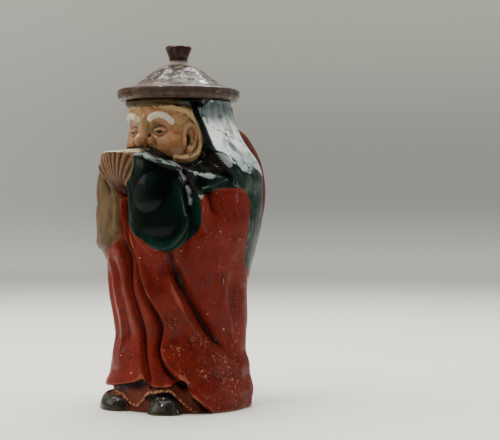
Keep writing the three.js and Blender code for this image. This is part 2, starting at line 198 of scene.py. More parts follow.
# The mantle's profiles, (height, radius): down the back and sides, and down the front.
back_profile = curve_through([
    (0, 46.8), (5, 47.3), (11, 48.1), (21, 46.2), (28, 45.9), (37, 43.6), (46, 43.9), (58, 45.0),
    (74, 45.0), (87, 47.2), (100, 50.2), (115, 53.6), (131, 55.0), (150, 54.0), (160, 50.1),
    (166, 45.5), (172, 41.6), (178, 38.6), (186, 35.7), (193, 34.8), (198, 34.8)])
front_profile = curve_through([
    (0, 45.6), (5, 46.4), (12, 46.8), (21, 44.8), (34, 43.0), (48, 39.6), (61, 41.4), (74, 43.8),
    (87, 45.4), (100, 48.6), (110, 50.0), (122, 50.2), (134, 49.6), (147, 48.8), (160, 48.6),
    (167, 47.0), (178, 42), (198, 37)])

# Where the robe ends and the head begins, and how far up the slope between them runs.
COLLAR = [
    (-180, 150), (-96, 150), (-80, 151), (-56, 157.5), (-38, 164.6), (-22, 165.6), (-8, 165.6), (6, 165.4),
    (12, 163.6), (18, 164.8), (25, 163), (40, 158), (52, 155), (65, 151), (80, 149), (92, 150), (180, 150)]
collar_height = curve_through(COLLAR)
collar_slope = curve_through([
    (-180, 2), (-116, 4), (-98, 12), (-82, 10), (-64, 2), (-30, 1), (44, 1), (62, 3), (72, 10),
    (92, 13), (108, 4), (180, 2)])

# Front edge of the long hair on each side, (height, angle).
hair_left = curve_through([
    (140, 99), (146, 95), (151, 88), (158, 82), (163, 78), (167, 74), (180, 69.5), (194, 60), (198, 57)])
hair_right = curve_through([
    (140, -104), (151, -98), (160, -92), (167, -88), (180, -84), (194, -74), (198, -70)])

# Lower edges, (angle, height): of the outer robe, of the robe under it and of the sleeves.
outer_hem = curve_through([
    (-180, 3), (-100, 3), (-80, 8), (-60, 12), (-23, 14.6), (-6.7, 16.8), (10, 19.3), (19, 21.5),
    (23, 18.6), (31, 16.8), (40, 17.2), (50, 21), (54.5, 19), (58, 12), (62, 9), (71, 3.5), (82, -3),
    (180, -6)])
inner_hem = curve_through([
    (-180, -4), (-82, -4), (-62, 4), (-48, 11), (-40, 13), (-35, 12.6), (-27, 10), (-8, 8.6), (1, 4.2),
    (9, 3.2), (15, 6.8), (21, 11.5), (28, 12.4), (39, 13.5), (47, 9.2), (55, 3.6), (62, 0), (72, -3),
    (180, -4)])
sleeve_line = curve_through([
    (-180, 104), (-76, 104), (-64, 111), (-50, 104), (-35, 102), (-20, 104), (-6, 111), (4, 112),
    (12, 114), (22, 103.5), (33.5, 101.5), (45, 103.5), (55, 114), (66, 108), (80, 104), (180, 104)])

# The head is turned a little to the figure's left. The face is a plain, calm one, drawn by rule.
HEAD_TURN = 7
EYE_ANGLE = 20
EYE_HEIGHT = 177.6
NOSE_FOOT = 171.4
EAR_ANGLES = {1: 61, -1: -66}


def brow_line(side):
    return [(side * 9, 185), (side * 17, 187.2), (side * 26, 186.6), (side * 34, 183)]


def face(theta, z):
    """Forehead, nose, cheeks, eyes with calm lids, and tufted brows."""
    rise = swelling(theta, z, (0, 189), (22, 8), 1.2, 1, HEAD_GIRTH)
    rise += swelling(theta, z, (0, 176), (4.6, 12), 3.8, 0.9, HEAD_GIRTH)
    rise += swelling(theta, z, (0, NOSE_FOOT), (5, 4.8), 4.4, 0.8, HEAD_GIRTH)
    for side in (-1, 1):
        eye = side * EYE_ANGLE
        rise += swelling(theta, z, (side * 33, 168.5), (10, 9), 2.6, 1.2, HEAD_GIRTH)
        rise -= swelling(theta, z, (eye, EYE_HEIGHT + 0.4), (7.6, 5.4), 2.2, 1, HEAD_GIRTH)
        rise += swelling(theta, z, (side * 9, 170.6), (3.2, 3.2), 2.2, 0.8, HEAD_GIRTH)
        rise -= swelling(theta, z, (side * 5.6, 168.6), (1.5, 1.2), 1.6, 1, HEAD_GIRTH)
        rise += swelling(theta, z, (eye, EYE_HEIGHT - 0.4), (4.8, 3.0), 2.1, 0.7, HEAD_GIRTH)
        upper_lid = [(side * 11.5, 176.6), (side * 16, 178.3), (side * 24, 178.4), (side * 29.5, 176.2)]
        lower_lid = [(side * 12, 176.2), (side * 18, 175.0), (side * 24, 175.1), (side * 29, 176)]
        rise += fold(theta, z, upper_lid, 1.3, 0.9, 1.3, (0.2, 0.2), HEAD_GIRTH)
        rise += fold(theta, z, lower_lid, 0.6, 0.8, 0.8, (0.2, 0.2), HEAD_GIRTH)
        away, part = beside(theta, z, brow_line(side), HEAD_GIRTH)
        tufts = 1 + 0.14 * np.sin(part * 40 + away * 1.2)
        rise += 2.2 * tufts * crest(away, 1.8, 1.8) * ease(0, 0.1, part) * ease(0, 0.15, 1 - part)
        cheek_line = [(side * 10, 173.5), (side * 15, 170), (side * 18, 165)]
        rise -= fold(theta, z, cheek_line, 0.7, 1.1, 1.1, (0.2, 0.3), HEAD_GIRTH)
    return rise


def ears(theta, z):
    """Each ear: its outer rim, the fold inside it, a long lobe, the hollow and the small flap before it."""
    rise = 0
    for side, angle in EAR_ANGLES.items():
        helix = [(angle - 5 * side, 165), (angle - 6 * side, 176), (angle, 181), (angle + 6 * side, 177),
                 (angle + 5 * side, 170), (angle, 163.5)]
        inner = [(angle - side, 179), (angle + 2.5 * side, 175.5), (angle + 1.5 * side, 170)]
        rise = rise + fold(theta, z, helix, 2.2, 1.3, 1.3, (0.1, 0.1))
        rise = rise + fold(theta, z, inner, 1.2, 0.9, 0.9, (0.2, 0.2))
        rise = rise + swelling(theta, z, (angle - side, 164.8), (2.9, 3.6), 2.3, 0.8)
        rise = rise - swelling(theta, z, (angle - 2 * side, 172.5), (2.2, 3.6), 1.2)
        rise = rise + swelling(theta, z, (angle - 4.5 * side, 171.5), (1.3, 1.8), 1.3)
    return rise


HOOD_RIM = [
    (-78, 152), (-86, 166), (-85, 180), (-66, 190), (-34, 194), (0, 194.5), (24, 194), (44.6, 191),
    (55, 188), (60.5, 183), (63.5, 176), (64.5, 169), (62, 164), (56, 161), (47, 159.6), (38, 160)]


def head_radius(theta, z):
    """Radius of the head with its face and ears, and the rolled rim of the hood round it."""
    turned = wrap(theta - HEAD_TURN)
    skull = 34.8 + 1.4 * ease(40, 120, abs(turned)) - 1.6 * ease(66, 50, abs(turned))
    skull -= (2.2 - 1.2 * ease(184, 190, z)) * ease(-24, -44, turned) * ease(-104, -80, turned)
    side, part = beside(turned, z, HOOD_RIM)
    rim = crest(side, 1.7, 1.7) * (1 + 0.9 * ease(0.3, 0.6, part))
    return skull + face(turned, z) + rim + ears(theta, z)


# Sleeves, each a swelling with a loose lower end that overhangs the robe.
SLEEVES = [
    {"angle": 33.5, "half_width": 21.5, "foot": 101.5, "lift": 15, "depth": 3.0},
    {"angle": -35, "half_width": 29, "foot": 102, "lift": 9, "depth": 0.9},
]


def sleeve_end(theta, z, angle, half_width, foot, lift, depth):
    """A thick lower edge that rises to both sides, with the robe drawn in under it."""
    off = abs(theta - angle) / half_width
    edge = foot + lift * np.minimum(off, 1.3)**2.6
    inside = ease(1.2, 0.95, off)
    hollow = depth * ease(edge + 0.9, edge - 0.9, z) * ease(edge - 30, edge - 5, z)
    return inside * (1.5 * np.exp(-((z - edge - 3.2) / 4.2)**2) - hollow)


# Swellings of the arms and sleeves: ((angle, height), (width, height), rise, power).
ARMS = [
    ((34, 124), (19, 28), 3.2, 0.9),
    ((26, 148), (13, 22), 3.0, 0.9),
    ((-34, 124), (24, 30), 3.4, 0.9),
    ((-26, 150), (14, 20), 3.0, 0.9),
    ((66, 128), (4.5, 15), 2.2, 1.0),
    ((86, 122), (17, 28), 1.8, 1.0),
    ((-94, 122), (18, 28), 1.4, 1.0),
]

# Folds of the mantle: (course, rise, left flank, right flank, fades); a valley has a negative rise.
FOLDS = [
    ([(49, 161), (53, 150), (56, 139), (60, 124), (65, 110)], -4.6, 4.2, 4.6, (0.1, 0.3)),
    ([(-62, 158), (-68, 142), (-72, 124), (-77, 108)], -4, 4.2, 4.6, (0.1, 0.3)),
    ([(70, 142), (71, 132), (75, 118)], -2.4, 3, 3.4, (0.15, 0.4)),
    ([(-21, 160), (-15, 150), (-9, 141), (-5, 132), (-4, 120), (-2, 106)], 2.4, 3, 1.5, (0.12, 0.3)),
    ([(0, 137), (0, 131), (0.6, 125), (2, 118), (3, 109), (6, 96)], 4.4, 1.5, 1.7, (0.1, 0.35)),
    ([(36, 108), (38, 97), (44.8, 80), (49, 69), (55, 58.7), (62, 49), (70, 39.7), (79, 30.5), (95, 20)],
     2.4, 7, 3.4, (0.06, 0.25)),
    ([(40, 104), (44, 93), (51, 82), (59, 70.8), (67.5, 60.1), (79, 49.1), (92, 38)],
     -4.6, 3.6, 5.6, (0.05, 0.35)),
    ([(61, 140), (67.4, 130.4), (77, 112), (86, 98)], 2.2, 3.4, 2.6, (0.15, 0.35)),
    ([(84, 92), (88, 74), (98, 56), (112, 44)], 1.6, 6, 5, (0.3, 0.3)),
    ([(96, 96), (99, 74), (108, 56), (124, 42)], -2.2, 5, 5, (0.3, 0.3)),
    ([(-22, 100), (-18, 84), (-14, 60), (-14, 26)], 1.6, 4, 3, (0.1, 0.3)),
    ([(-15, 98), (-11, 84), (-7, 60), (-6, 34)], -1.4, 3, 3, (0.1, 0.3)),
    ([(-44, 98), (-42, 70), (-44, 30)], 1.5, 5, 4, (0.2, 0.3)),
    ([(-34, 96), (-32, 70), (-33, 34)], -1.3, 4, 4, (0.2, 0.3)),
    ([(14, 94), (20, 72), (24, 50), (26, 30)], 1.3, 5, 4, (0.2, 0.3)),
]

# Small rolls of the shawl and sleeve round the neck, which only the finished surface has.
NECK_ROLLS = [
    ([(76.5, 167), (75.6, 163), (77, 159.8), (83, 158.4), (90, 156)], 1.1, 0.8, 0.9, (0.1, 0.2)),
    ([(80.5, 166), (80, 162.6), (82, 161), (88, 159.4)], 0.9, 0.7, 0.7, (0.15, 0.2)),
    ([(45, 157), (50.8, 150.2), (53.8, 144), (56.7, 137.8), (57.4, 131)], 1.3, 1.2, 1.0, (0.1, 0.2)),
    ([(71, 160.6), (64.6, 157), (61.7, 151.5), (58.5, 147)], 1.2, 1.0, 1.0, (0.1, 0.2)),
    ([(58.7, 141), (62.1, 137.8), (61.6, 132.9), (64.4, 129.1), (64.8, 123)], 1.2, 0.9, 0.9, (0.1, 0.2)),
    ([(66, 139), (72, 143), (80, 146), (88, 147)], 0.8, 1.6, 1.2, (0.2, 0.3)),
    ([(89, 153), (89.6, 148), (88.6, 142.5)], 0.9, 1.4, 1.8, (0.2, 0.2)),
]

# Sharp creases of the mantle, which only the finished surface has.
CREASES = [
    ([(71, 140), (76.8, 128.5), (81, 120.5), (88, 110)], 1.0, 1.0, 1.8, (0.1, 0.3)),
    ([(74, 136), (80, 126), (85, 116)], -0.8, 1.2, 1.6, (0.2, 0.3)),
    ([(62, 130), (66, 120), (71, 111)], 0.8, 1.0, 1.6, (0.2, 0.3)),
    ([(88.6, 137), (91.3, 127.3), (95.4, 115)], 0.7, 0.9, 1.4, (0.2, 0.3)),
    ([(38, 97), (46.1, 73), (63.2, 50), (82.1, 36.4), (105, 24.8), (120, 14)], 1.3, 2.2, 1.0, (0.08, 0.2)),
    ([(37, 100), (41, 90), (54.7, 73.6), (71.6, 58.1), (86.9, 43.9), (97.6, 34.6), (112, 26)],
     -1.6, 1.6, 3.0, (0.08, 0.3)),
    ([(52, 34), (62, 27), (78, 18), (96, 10)], 0.9, 1.0, 1.6, (0.2, 0.3)),
    ([(96, 70), (98, 54), (106, 40), (118, 30)], 1.0, 1.4, 1.4, (0.2, 0.3)),
    ([(76, 104), (80, 92), (82, 76)], 0.6, 1.2, 1.6, (0.3, 0.3)),
]

LEFT_PANEL = [
    (4, 118), (9.3, 107), (15, 94), (20.5, 79), (26.6, 69), (32.5, 61), (35.6, 54), (33.6, 45),
    (33.6, 38), (40, 29), (53, 20)]
RIGHT_PANEL = [
    (-8, 112), (-1, 100), (1, 84), (3.4, 72), (9, 56.5), (13, 41.7), (17, 30), (21, 21)]
SLEEVE_GAP = [(-2, 146), (0, 138), (1, 128), (2, 118), (4, 108), (6, 94), (8, 78)]


def laps(theta, z):
    """Two panels lapped down the front: the edge of each stands up over a groove."""
    left, left_part = beside(theta, z, LEFT_PANEL)
    right, right_part = beside(theta, z, RIGHT_PANEL)
    gap, _ = beside(theta, z, SLEEVE_GAP)
    lap = ease(0, 0.12, left_part) * (1.7 * crest(left, 6.5, 1.0) - 3.4 * crest(left - 2.8, 2.2, 2.2))
    lap += ease(0, 0.12, right_part) * (1.3 * crest(right, 1.0, 7) - 2.6 * crest(right + 2.5, 2.2, 2.2))
    return lap - 6.4 * crest(gap, 4.4, 5) * ease(76, 108, z) * ease(150, 136, z)


# The pleated cuff that is held up to the mouth.
CUFF = [(-4, 170), (-3, 139)]
cuff_half_width = curve_through([(0, 15), (0.3, 14.5), (0.58, 12), (0.76, 7.6), (0.9, 3.6), (1, 1.8)])
cuff_rise = curve_through([(0, 7.5), (0.5, 6), (0.85, 3.4), (1, 0)])
CUFF_PLEATS = 44
PLEAT_FOCUS = (-1, 137)


def cuff(theta, z):
    """A rounded fan of pleats that meet at the hand, with a row of beads along its top."""
    side, part = beside(theta, z, CUFF)
    rounded = np.clip(1 - (side / cuff_half_width(part))**2, 0, None)**0.6
    fan = np.arctan2((theta - PLEAT_FOCUS[0]) * DEGREE * GIRTH, z - PLEAT_FOCUS[1])
    pleats = 0.55 * np.sin(fan * CUFF_PLEATS) * np.clip(rounded * 2 - 0.4, 0, 1) * ease(141, 148, z)
    beads = (0.9 + 0.8 * np.sin(theta * 1.1)) * crest(z - 163.8, 1.2, 1.0) * rounded
    return ease(166.6, 165.2, z) * (cuff_rise(part) * rounded + pleats + beads)


def ripples(theta, z):
    """Soft hanging folds of the back, fuller towards the hem."""
    angle = theta * DEGREE
    low = np.sin(angle * 9 + 0.7 + z * 0.012) + 0.5 * np.sin(angle * 15 - 1.1 - z * 0.02)
    high = 0.6 * np.sin(angle * 7 + z * 0.02)
    return ease(112, 60, z) * low + ease(60, 110, z) * ease(170, 140, z) * high


def shawl_step(theta, z):
    """The shawl's lower edge over the upper arms, which stands out over the sleeves."""
    across = ease(59, 69, theta) * ease(110, 98, theta) + ease(-111, -101, theta) * ease(-70, -82, theta)
    return 1.3 * across * ease(138.8, 141.4, z) * ease(156, 147, z)


# Shoe tips under the hems: ((angle, height), (width, height), rise, power).
SHOES = [((-23, 1.5), (17.5, 11.5), 12, 0.45), ((36, -1), (13.5, 11), 9.6, 0.5)]
UNDER_ROBE = 5.5
FOOT_RADIUS = 40.5


def robe_radius(theta, z):
    """Radius of the mantle, with the under-robe below its hem and the shoes and foot below that."""
    behind = ease(56, 104, abs(theta - 22))
    radius = front_profile(z) + (back_profile(z) - front_profile(z)) * behind
    hem = outer_hem(theta)
    under = inner_hem(theta)
    radius += behind * ripples(theta, z) + shawl_step(theta, z) + cuff(theta, z) + laps(theta, z)
    radius += sum(swelling(theta, z, *arm) for arm in ARMS)
    radius += sum(sleeve_end(theta, z, **sleeve) for sleeve in SLEEVES)
    radius += sum(fold(theta, z, *one) for one in FOLDS)
    radius += 1.2 * crest(z - hem - 2, 4, 4) * ease(-3, 4, hem)
    inner = radius - UNDER_ROBE + crest(z - under - 1.2, 2.2, 2.2)
    foot = FOOT_RADIUS + np.maximum(*[swelling(theta, z, *shoe) for shoe in SHOES])
    below = foot + (inner - foot) * ease(under - 0.5, under + 0.5, z)
    return below + (radius - below) * ease(hem - 0.5, hem + 0.5, z)


def figure_radius(angle, z):
    """Radius of the whole figure: robe, shoulders, head and hair, and a plain band under the lid."""
    theta = wrap(angle)
    head = head_radius(theta, z)
    slope = collar_slope(theta)
    collar = collar_height(theta)
    cloth = ease(collar + slope, collar - 2.2, z)**np.where(slope > 6, 0.8, 0.5)
    clothed = head + np.maximum(robe_radius(theta, z) - head, 0) * cloth
    sleeve_roll = 0.9 * crest(z - collar + 2.6, 1.3, 1.3) * ease(10, 16, theta) * ease(54, 46, theta)
    clothed += sleeve_roll + sum(fold(theta, z, *one) for one in NECK_ROLLS + CREASES)
    left = ease(hair_left(z) - 2, hair_left(z) + 1.5, theta)
    right = ease(hair_right(z) + 2, hair_right(z) - 1.5, theta)
    strands = 0.4 * np.sin(theta * DEGREE * 38 + z * 0.10) * ease(150, 165, z)
    hair = np.maximum(back_profile(z) + 0.9 * ease(196, 190, z) + strands, clothed - 1.5)
    haired = clothed + (hair - clothed) * np.maximum(left, right) * ease(136, 148, z)
    radius = haired + (NECK_RADIUS - haired) * ease(193.5, 195.5, z)
    return radius + 0.25 * unevenness(theta, z, 9) * ease(0, 6, z) * ease(196, 190, z)


def spread(bands):
    """Places between the ends of each band, evenly spread: (from, to, how many steps)."""
    places = [start + (end - start) * (i / count) for start, end, count in bands for i in range(count)]
    return np.array(np.broadcast_arrays(*places, bands[-1][1]))


# Mesh of the body: its rows follow the hems, the sleeve ends and the collar, and its columns are
# closest together in front.
columns = spread([(-96, -60, 24), (-60, 112, 190), (112, 264, 74)])[:-1]


def outer_rows(theta):
    """Heights of the outside's rows, close together at every edge of cloth."""
    hem = np.clip(outer_hem(theta), 5, 22)
    under = np.clip(inner_hem(theta), 1.6, hem - 2.4)
    cuffs = sleeve_line(theta)
    collar = collar_height(theta)
    shoulder = collar + collar_slope(theta)
    return spread([
        (0, 1, 4), (1, under - 0.6, 3), (under - 0.6, under + 0.6, 4), (under + 0.6, hem - 0.8, 7),
        (hem - 0.8, hem + 0.8, 5), (hem + 0.8, cuffs - 1.2, 72), (cuffs - 1.2, cuffs + 1.2, 6),
        (cuffs + 1.2, collar - 3, 56), (collar - 3, shoulder, 10), (shoulder, 193, 72),
        (193, 196.7, 6), (196.7, FIGURE_HEIGHT, 4)])


def rounding(depth, size):
    """How far a rounded edge draws in, at this depth below the edge's own height."""
    return size * (1 - np.sqrt(np.clip(1 - np.clip(1 - depth / size, 0, 1)**2, 0, 1)))


def outer_radius(theta, z):
    """The figure's radius with its rim and foot rounded."""
    radius = figure_radius(theta, z)
    return radius - rounding(FIGURE_HEIGHT - z, RIM_ROUNDING) - rounding(z, FOOT_ROUNDING)


# The inside is worked out at places this many degrees and millimetres apart, and its floor meets
# its wall in a round of this radius.
INSIDE_TURN = 6
INSIDE_RISE = 6
INSIDE_CORNER = 10


def inner_wall():
    """The inside's radius over the angles and heights: a wall behind the least radius nearby."""
    angles = np.arange(-180, 180, INSIDE_TURN)
    heights = np.arange(FLOOR, FIGURE_HEIGHT, INSIDE_RISE)
    across, up = np.meshgrid(angles, heights)
    around = figure_radius(across, up)
    least = np.min([np.roll(around, turn, axis=1) for turn in range(-2, 3)], axis=0)
    lowered = np.concatenate([least[:1], least, least[-1:]])
    least = np.min([lowered[:-2], lowered[1:-1], lowered[2:]], axis=0) - WALL

    def radius(theta, z):
        column = (theta + 180) % 360 / INSIDE_TURN
        left = np.floor(column).astype(int)
        row = np.clip((z - FLOOR) / INSIDE_RISE, 0, len(heights) - 1.001)
        low = np.floor(row).astype(int)
        level = [least[low + step, left % len(angles)] * (1 - column + left)
                 + least[low + step, (left + 1) % len(angles)] * (column - left) for step in (0, 1)]
        wall = level[0] + (level[1] - level[0]) * (row - low)
        corner = INSIDE_CORNER * (1 - np.sqrt(1 - np.clip(1 - (z - FLOOR) / INSIDE_CORNER, 0, 1)**2))
        throat = ease(MOUTH_FOOT - 6, MOUTH_FOOT, z)
        return (wall - corner) * (1 - throat) + MOUTH_RADIUS * throat
    return radius


def spun_mesh(name, profile, steps):
    """A closed solid of revolution round the Z axis, from a profile of (radius, height)."""
    work = bmesh.new()
    spots = [work.verts.new((radius, 0, height)) for radius, height in profile]
    lines = [work.edges.new(pair) for pair in zip(spots, spots[1:])]
    bmesh.ops.spin(work, geom=spots + lines, cent=(0, 0, 0), axis=(0, 0, 1), dvec=(0, 0, 0),
                   angle=2 * math.pi, steps=steps, use_merge=True, use_duplicate=False)
    bmesh.ops.remove_doubles(work, verts=work.verts, dist=1e-5)
    bmesh.ops.recalc_face_normals(work, faces=work.faces)
    mesh = bpy.data.meshes.new(name)
    work.to_mesh(mesh)
    work.free()
    return mesh


def places_of(mesh):
    """The mesh's vertices in millimetres, as rows of x, y and z."""
    flat = np.empty(len(mesh.vertices) * 3)
    mesh.vertices.foreach_get("co", flat)
    return flat.reshape(-1, 3) / MM


def place_vertices(mesh, places):
    mesh.vertices.foreach_set("co", (places * MM).ravel())
    mesh.update()


def recalculate_normals(mesh):
    work = bmesh.new()
    work.from_mesh(mesh)
    bmesh.ops.recalc_face_normals(work, faces=work.faces)
    work.to_mesh(mesh)
    work.free()


def new_object(mesh):
    """The mesh in the scene, smooth, with its object at the origin."""
    made = bpy.data.objects.new(mesh.name, mesh)
    bpy.context.scene.collection.objects.link(made)
    mesh.polygons.foreach_set("use_smooth", [True] * len(mesh.polygons))
    return made


# Radius of a ring that divides the flat discs of the inner floor and the underside.
DISC_RADIUS = 30


def carved_body():
    """The hollow figure, spun as a plain drum whose vertices are then moved to the carved surface."""
    outer = outer_rows(columns)
    inner_heights = np.concatenate([
        FIGURE_HEIGHT - RIM_ROUNDING * np.array([0, 0.3, 1]), spread([
            (194, MOUTH_FOOT, 3), (MOUTH_FOOT, 182, 4), (182, 17, 26), (17, FLOOR, 8)])])
    count = len(outer)
    total = count + len(inner_heights)
    drum = [(0, 0), (0.5, 0)] + [(1, row + 1) for row in range(total)] + [(0.5, total + 1), (0, total + 1)]
    mesh = spun_mesh("figure", drum, len(columns))
    spots = places_of(mesh) * MM
    radial = np.hypot(spots[:, 0], spots[:, 1])
    turn = np.degrees(np.arctan2(spots[:, 1], spots[:, 0])) % 360
    column = np.round(turn / 360 * len(columns)).astype(int) % len(columns)
    row = np.round(spots[:, 2]).astype(int) - 1
    theta = columns[column]
    is_outer = (row >= 0) & (row < count)
    is_inner = (row >= count) & (row < total)
    z = np.where(row < 0, 0, FLOOR)
    z = np.where(is_outer, outer[np.clip(row, 0, count - 1), column], z)
    z = np.where(is_inner, inner_heights[np.clip(row - count, 0, len(inner_heights) - 1)], z)
    inner = inner_wall()
    radius = np.zeros(len(z))
    radius[is_outer] = outer_radius(theta[is_outer], z[is_outer])
    lip = rounding(FIGURE_HEIGHT - z, RIM_ROUNDING)
    radius[is_inner] = (inner(theta, z) + lip)[is_inner]
    flat = ~(is_outer | is_inner)
    radius[flat] = radial[flat] * 2 * DISC_RADIUS
    angle = theta * DEGREE
    place_vertices(mesh, np.stack([radius * np.sin(angle), -radius * np.cos(angle), z], axis=1))
    recalculate_normals(mesh)
    return mesh


# Where the handle joins the figure, as shares of its height.
HANDLE_TOP = 0.926
HANDLE_FOOT = 0.5

# The strap's section, how much wider it gets at its joints and over what length, and its ridge
# for the thumb.
STRAP_SIDES = 28
STRAP_FLARE = 0.45
FLARE_LENGTH = 6
THUMB_RIDGE = 0.08


def handle_path():
    """Middle line of the handle, (distance from the axis, height)."""
    back = float(back_profile(131))
    reach = FINGER_GAP + HANDLE_THICKNESS / 2
    bow = [(0.05, 0.906), (0.46, 0.866), (0.79, 0.813), (0.95, 0.757), (1, 0.7), (0.92, 0.637),
           (0.68, 0.573), (0.2, 0.522)]
    top, foot = [(float(figure_radius(HANDLE_ANGLE, height)) - WALL / 2, height)
                 for height in (HANDLE_TOP * FIGURE_HEIGHT, HANDLE_FOOT * FIGURE_HEIGHT)]
    middle = [(back + out * reach, share * FIGURE_HEIGHT) for out, share in bow]
    return smooth_course([top] + middle + [foot], 9)


def handle_strap():
    """A flat strap with round edges, swept along its path and flared where it joins the figure."""
    path = handle_path()
    steps = np.gradient(path, axis=0)
    steps /= np.hypot(*steps.T)[:, None]
    run = np.concatenate([[0], np.cumsum(np.hypot(*np.diff(path, axis=0).T))])
    ends = np.minimum(run, run[-1] - run)
    flare = 1 + STRAP_FLARE * np.exp(-(ends / FLARE_LENGTH)**2)
    work = bmesh.new()
    ring = bmesh.ops.create_circle(work, segments=STRAP_SIDES, radius=1, cap_ends=True)["verts"]
    turns = [math.atan2(vert.co.y, vert.co.x) for vert in ring]
    loop = list(work.edges)
    for i, ((away, height), (step_out, step_up)) in enumerate(zip(path, steps)):
        if i > 0:
            made = bmesh.ops.extrude_edge_only(work, edges=loop)["geom"]
            fresh = [item for item in made if isinstance(item, bmesh.types.BMVert)]
            loop = [item for item in made if isinstance(item, bmesh.types.BMEdge) and
                    all(vert in fresh for vert in item.verts)]
            ring = [next(v for v in fresh if (v.co - old.co).length < 1e-9) for old in ring]
        thumb_ridge = THUMB_RIDGE * math.sin(run[i] / run[-1] * math.pi)
        for vert, turn in zip(ring, turns):
            wide = HANDLE_WIDTH / 2 * flare[i] * math.cos(turn)
            thick = HANDLE_THICKNESS / 2 * flare[i] * math.sin(turn) * (1 - thumb_ridge * math.cos(turn)**2)
            vert.co = Vector((wide, away + thick * step_up, height - thick * step_out)) * MM
    aside = Matrix.Rotation((HANDLE_ANGLE - 180) * DEGREE, 3, "Z")
    bmesh.ops.rotate(work, verts=work.verts, cent=(0, 0, 0), matrix=aside)
    bmesh.ops.contextual_create(work, geom=loop)
    bmesh.ops.recalc_face_normals(work, faces=work.faces)
    mesh = bpy.data.meshes.new("strap")
    work.to_mesh(mesh)
    work.free()
    return mesh


# Clay is smoothed this far from each joint, but not the wall's inside or the band under the lid.
JOINT_REACH = 17
JOINT_OUTSIDE = 35.5
JOINT_BELOW = 193
JOINT_PASSES = 8


def joined(body, strap):
    """The two fired as one piece, with the clay smoothed over the joints."""
    union = body.modifiers.new("join", "BOOLEAN")
    union.operation = "UNION"
    union.solver = "EXACT"
    union.object = strap
    shape = bpy.data.meshes.new_from_object(body.evaluated_get(bpy.context.evaluated_depsgraph_get()))
    body.modifiers.clear()
    body.data = shape
    bpy.data.objects.remove(strap)
    work = bmesh.new()
    work.from_mesh(shape)
    path = handle_path()
    turn = HANDLE_ANGLE * DEGREE
    joints = [Vector((away * math.sin(turn), -away * math.cos(turn), height)) * MM
              for away, height in (path[0], path[-1])]
    near = [vert for vert in work.verts
            if min((vert.co - joint).length for joint in joints) < JOINT_REACH * MM
            and math.hypot(vert.co.x, vert.co.y) > JOINT_OUTSIDE * MM and vert.co.z < JOINT_BELOW * MM]
    for _ in range(JOINT_PASSES):
        bmesh.ops.smooth_vert(work, verts=near, factor=0.5, use_axis_x=True, use_axis_y=True, use_axis_z=True)
    work.to_mesh(shape)
    work.free()
    shape.polygons.foreach_set("use_smooth", [True] * len(shape.polygons))
    return body


# Where each finish lies, as outlines of (angle, height) on the unrolled surface.
GREEN_GLAZE = [
    (2.6, 136.8), (2.8, 130.4), (5, 124.2), (9, 118), (15, 113.1), (22.9, 108.8), (28.6, 104.5),
    (34.2, 102.1), (38.1, 101), (43.1, 101.6), (49.2, 104.4), (55.4, 108.7), (60.7, 113), (64, 117),
    (64.5, 124), (63.5, 132), (66, 136.4), (71, 137.6), (75.5, 139.9), (83, 141.1), (94.8, 141.1),
    (101, 139), (105, 136), (107, 131), (105.6, 121), (104.4, 114), (105.6, 106), (106.5, 99),
    (109, 94), (114, 90), (124, 88), (138, 84), (150, 84), (166, 88), (180, 104), (198, 112),
    (214, 128), (230, 136), (243, 141), (250, 150), (244, 162), (200, 160), (140, 162), (105, 168),
    (76, 172), (62, 168), (50, 166), (33, 168), (25, 170), (18, 170), (13, 166), (13.4, 158.4),
    (13, 153.5), (9.4, 147.3), (5, 143)]
WHITE_GLAZE = [
    (62, 200), (67, 193), (70, 187), (73.5, 181), (75.5, 174), (76.5, 168), (80, 164.5), (85, 161.5),
    (89, 157), (95, 153), (101, 150.5), (106, 151), (111.5, 155), (118, 153), (128, 149), (140, 150),
    (152, 144), (164, 147), (178, 141), (192, 146), (206, 143), (222, 149), (236, 146), (248, 151),
    (258, 157), (266, 166), (274, 176), (282, 188), (288, 200), (240, 204), (180, 204), (110, 204)]
TAN_SLEEVE = [
    (-10.2, 160), (-8, 150), (-6.2, 140), (-2.7, 133.6), (-2.2, 121), (-2.7, 109.7), (-11.7, 104.5),
    (-24, 101), (-36, 100.8), (-50, 103), (-64, 110), (-76, 118), (-84, 130), (-88, 142), (-82, 152),
    (-62, 157), (-42, 165), (-24, 169)]
FACE = [
    (-78, 150), (-86, 166), (-85, 180), (-66, 189), (-34, 193), (0, 193.5), (28, 193), (50, 189.5),
    (62, 182), (69, 174), (68, 166), (60, 160), (46, 156), (20, 158), (-20, 160), (-50, 153)]
GREEN_TONGUE = [
    (54, 196.5), (63.5, 193), (67, 187), (71, 181), (73.5, 174), (74.5, 166), (73, 160), (66, 155)]
SLEEVE_MARGIN = [(13.2, 164), (13.6, 158.4), (12.6, 152.6), (8.8, 147), (5, 143.4)]
SHAWL_ROLLS = [
    (48, 161), (58, 159), (70, 162), (80, 163), (88, 158), (82, 150), (72, 146), (64, 134), (59, 140)]
SCUFFED_SPOTS = [
    ((67, 25), (8, 4), 0.9), ((50, 40), (6, 5), 0.7), ((93, 31), (12, 6), 0.6), ((68, 114), (4, 9), 1.2),
    ((80, 120), (4, 9), 0.8)]
# Course of a highlight painted along the near sleeve's rolled top edge.
GLINT_RUN = [
    (14, 162.6), (21, 162.2), (27.5, 159.6), (33.2, 158), (38.2, 157.2), (45.8, 155.6), (50.8, 150.2),
    (53.8, 144), (56.7, 137.8), (57.4, 131.6)]


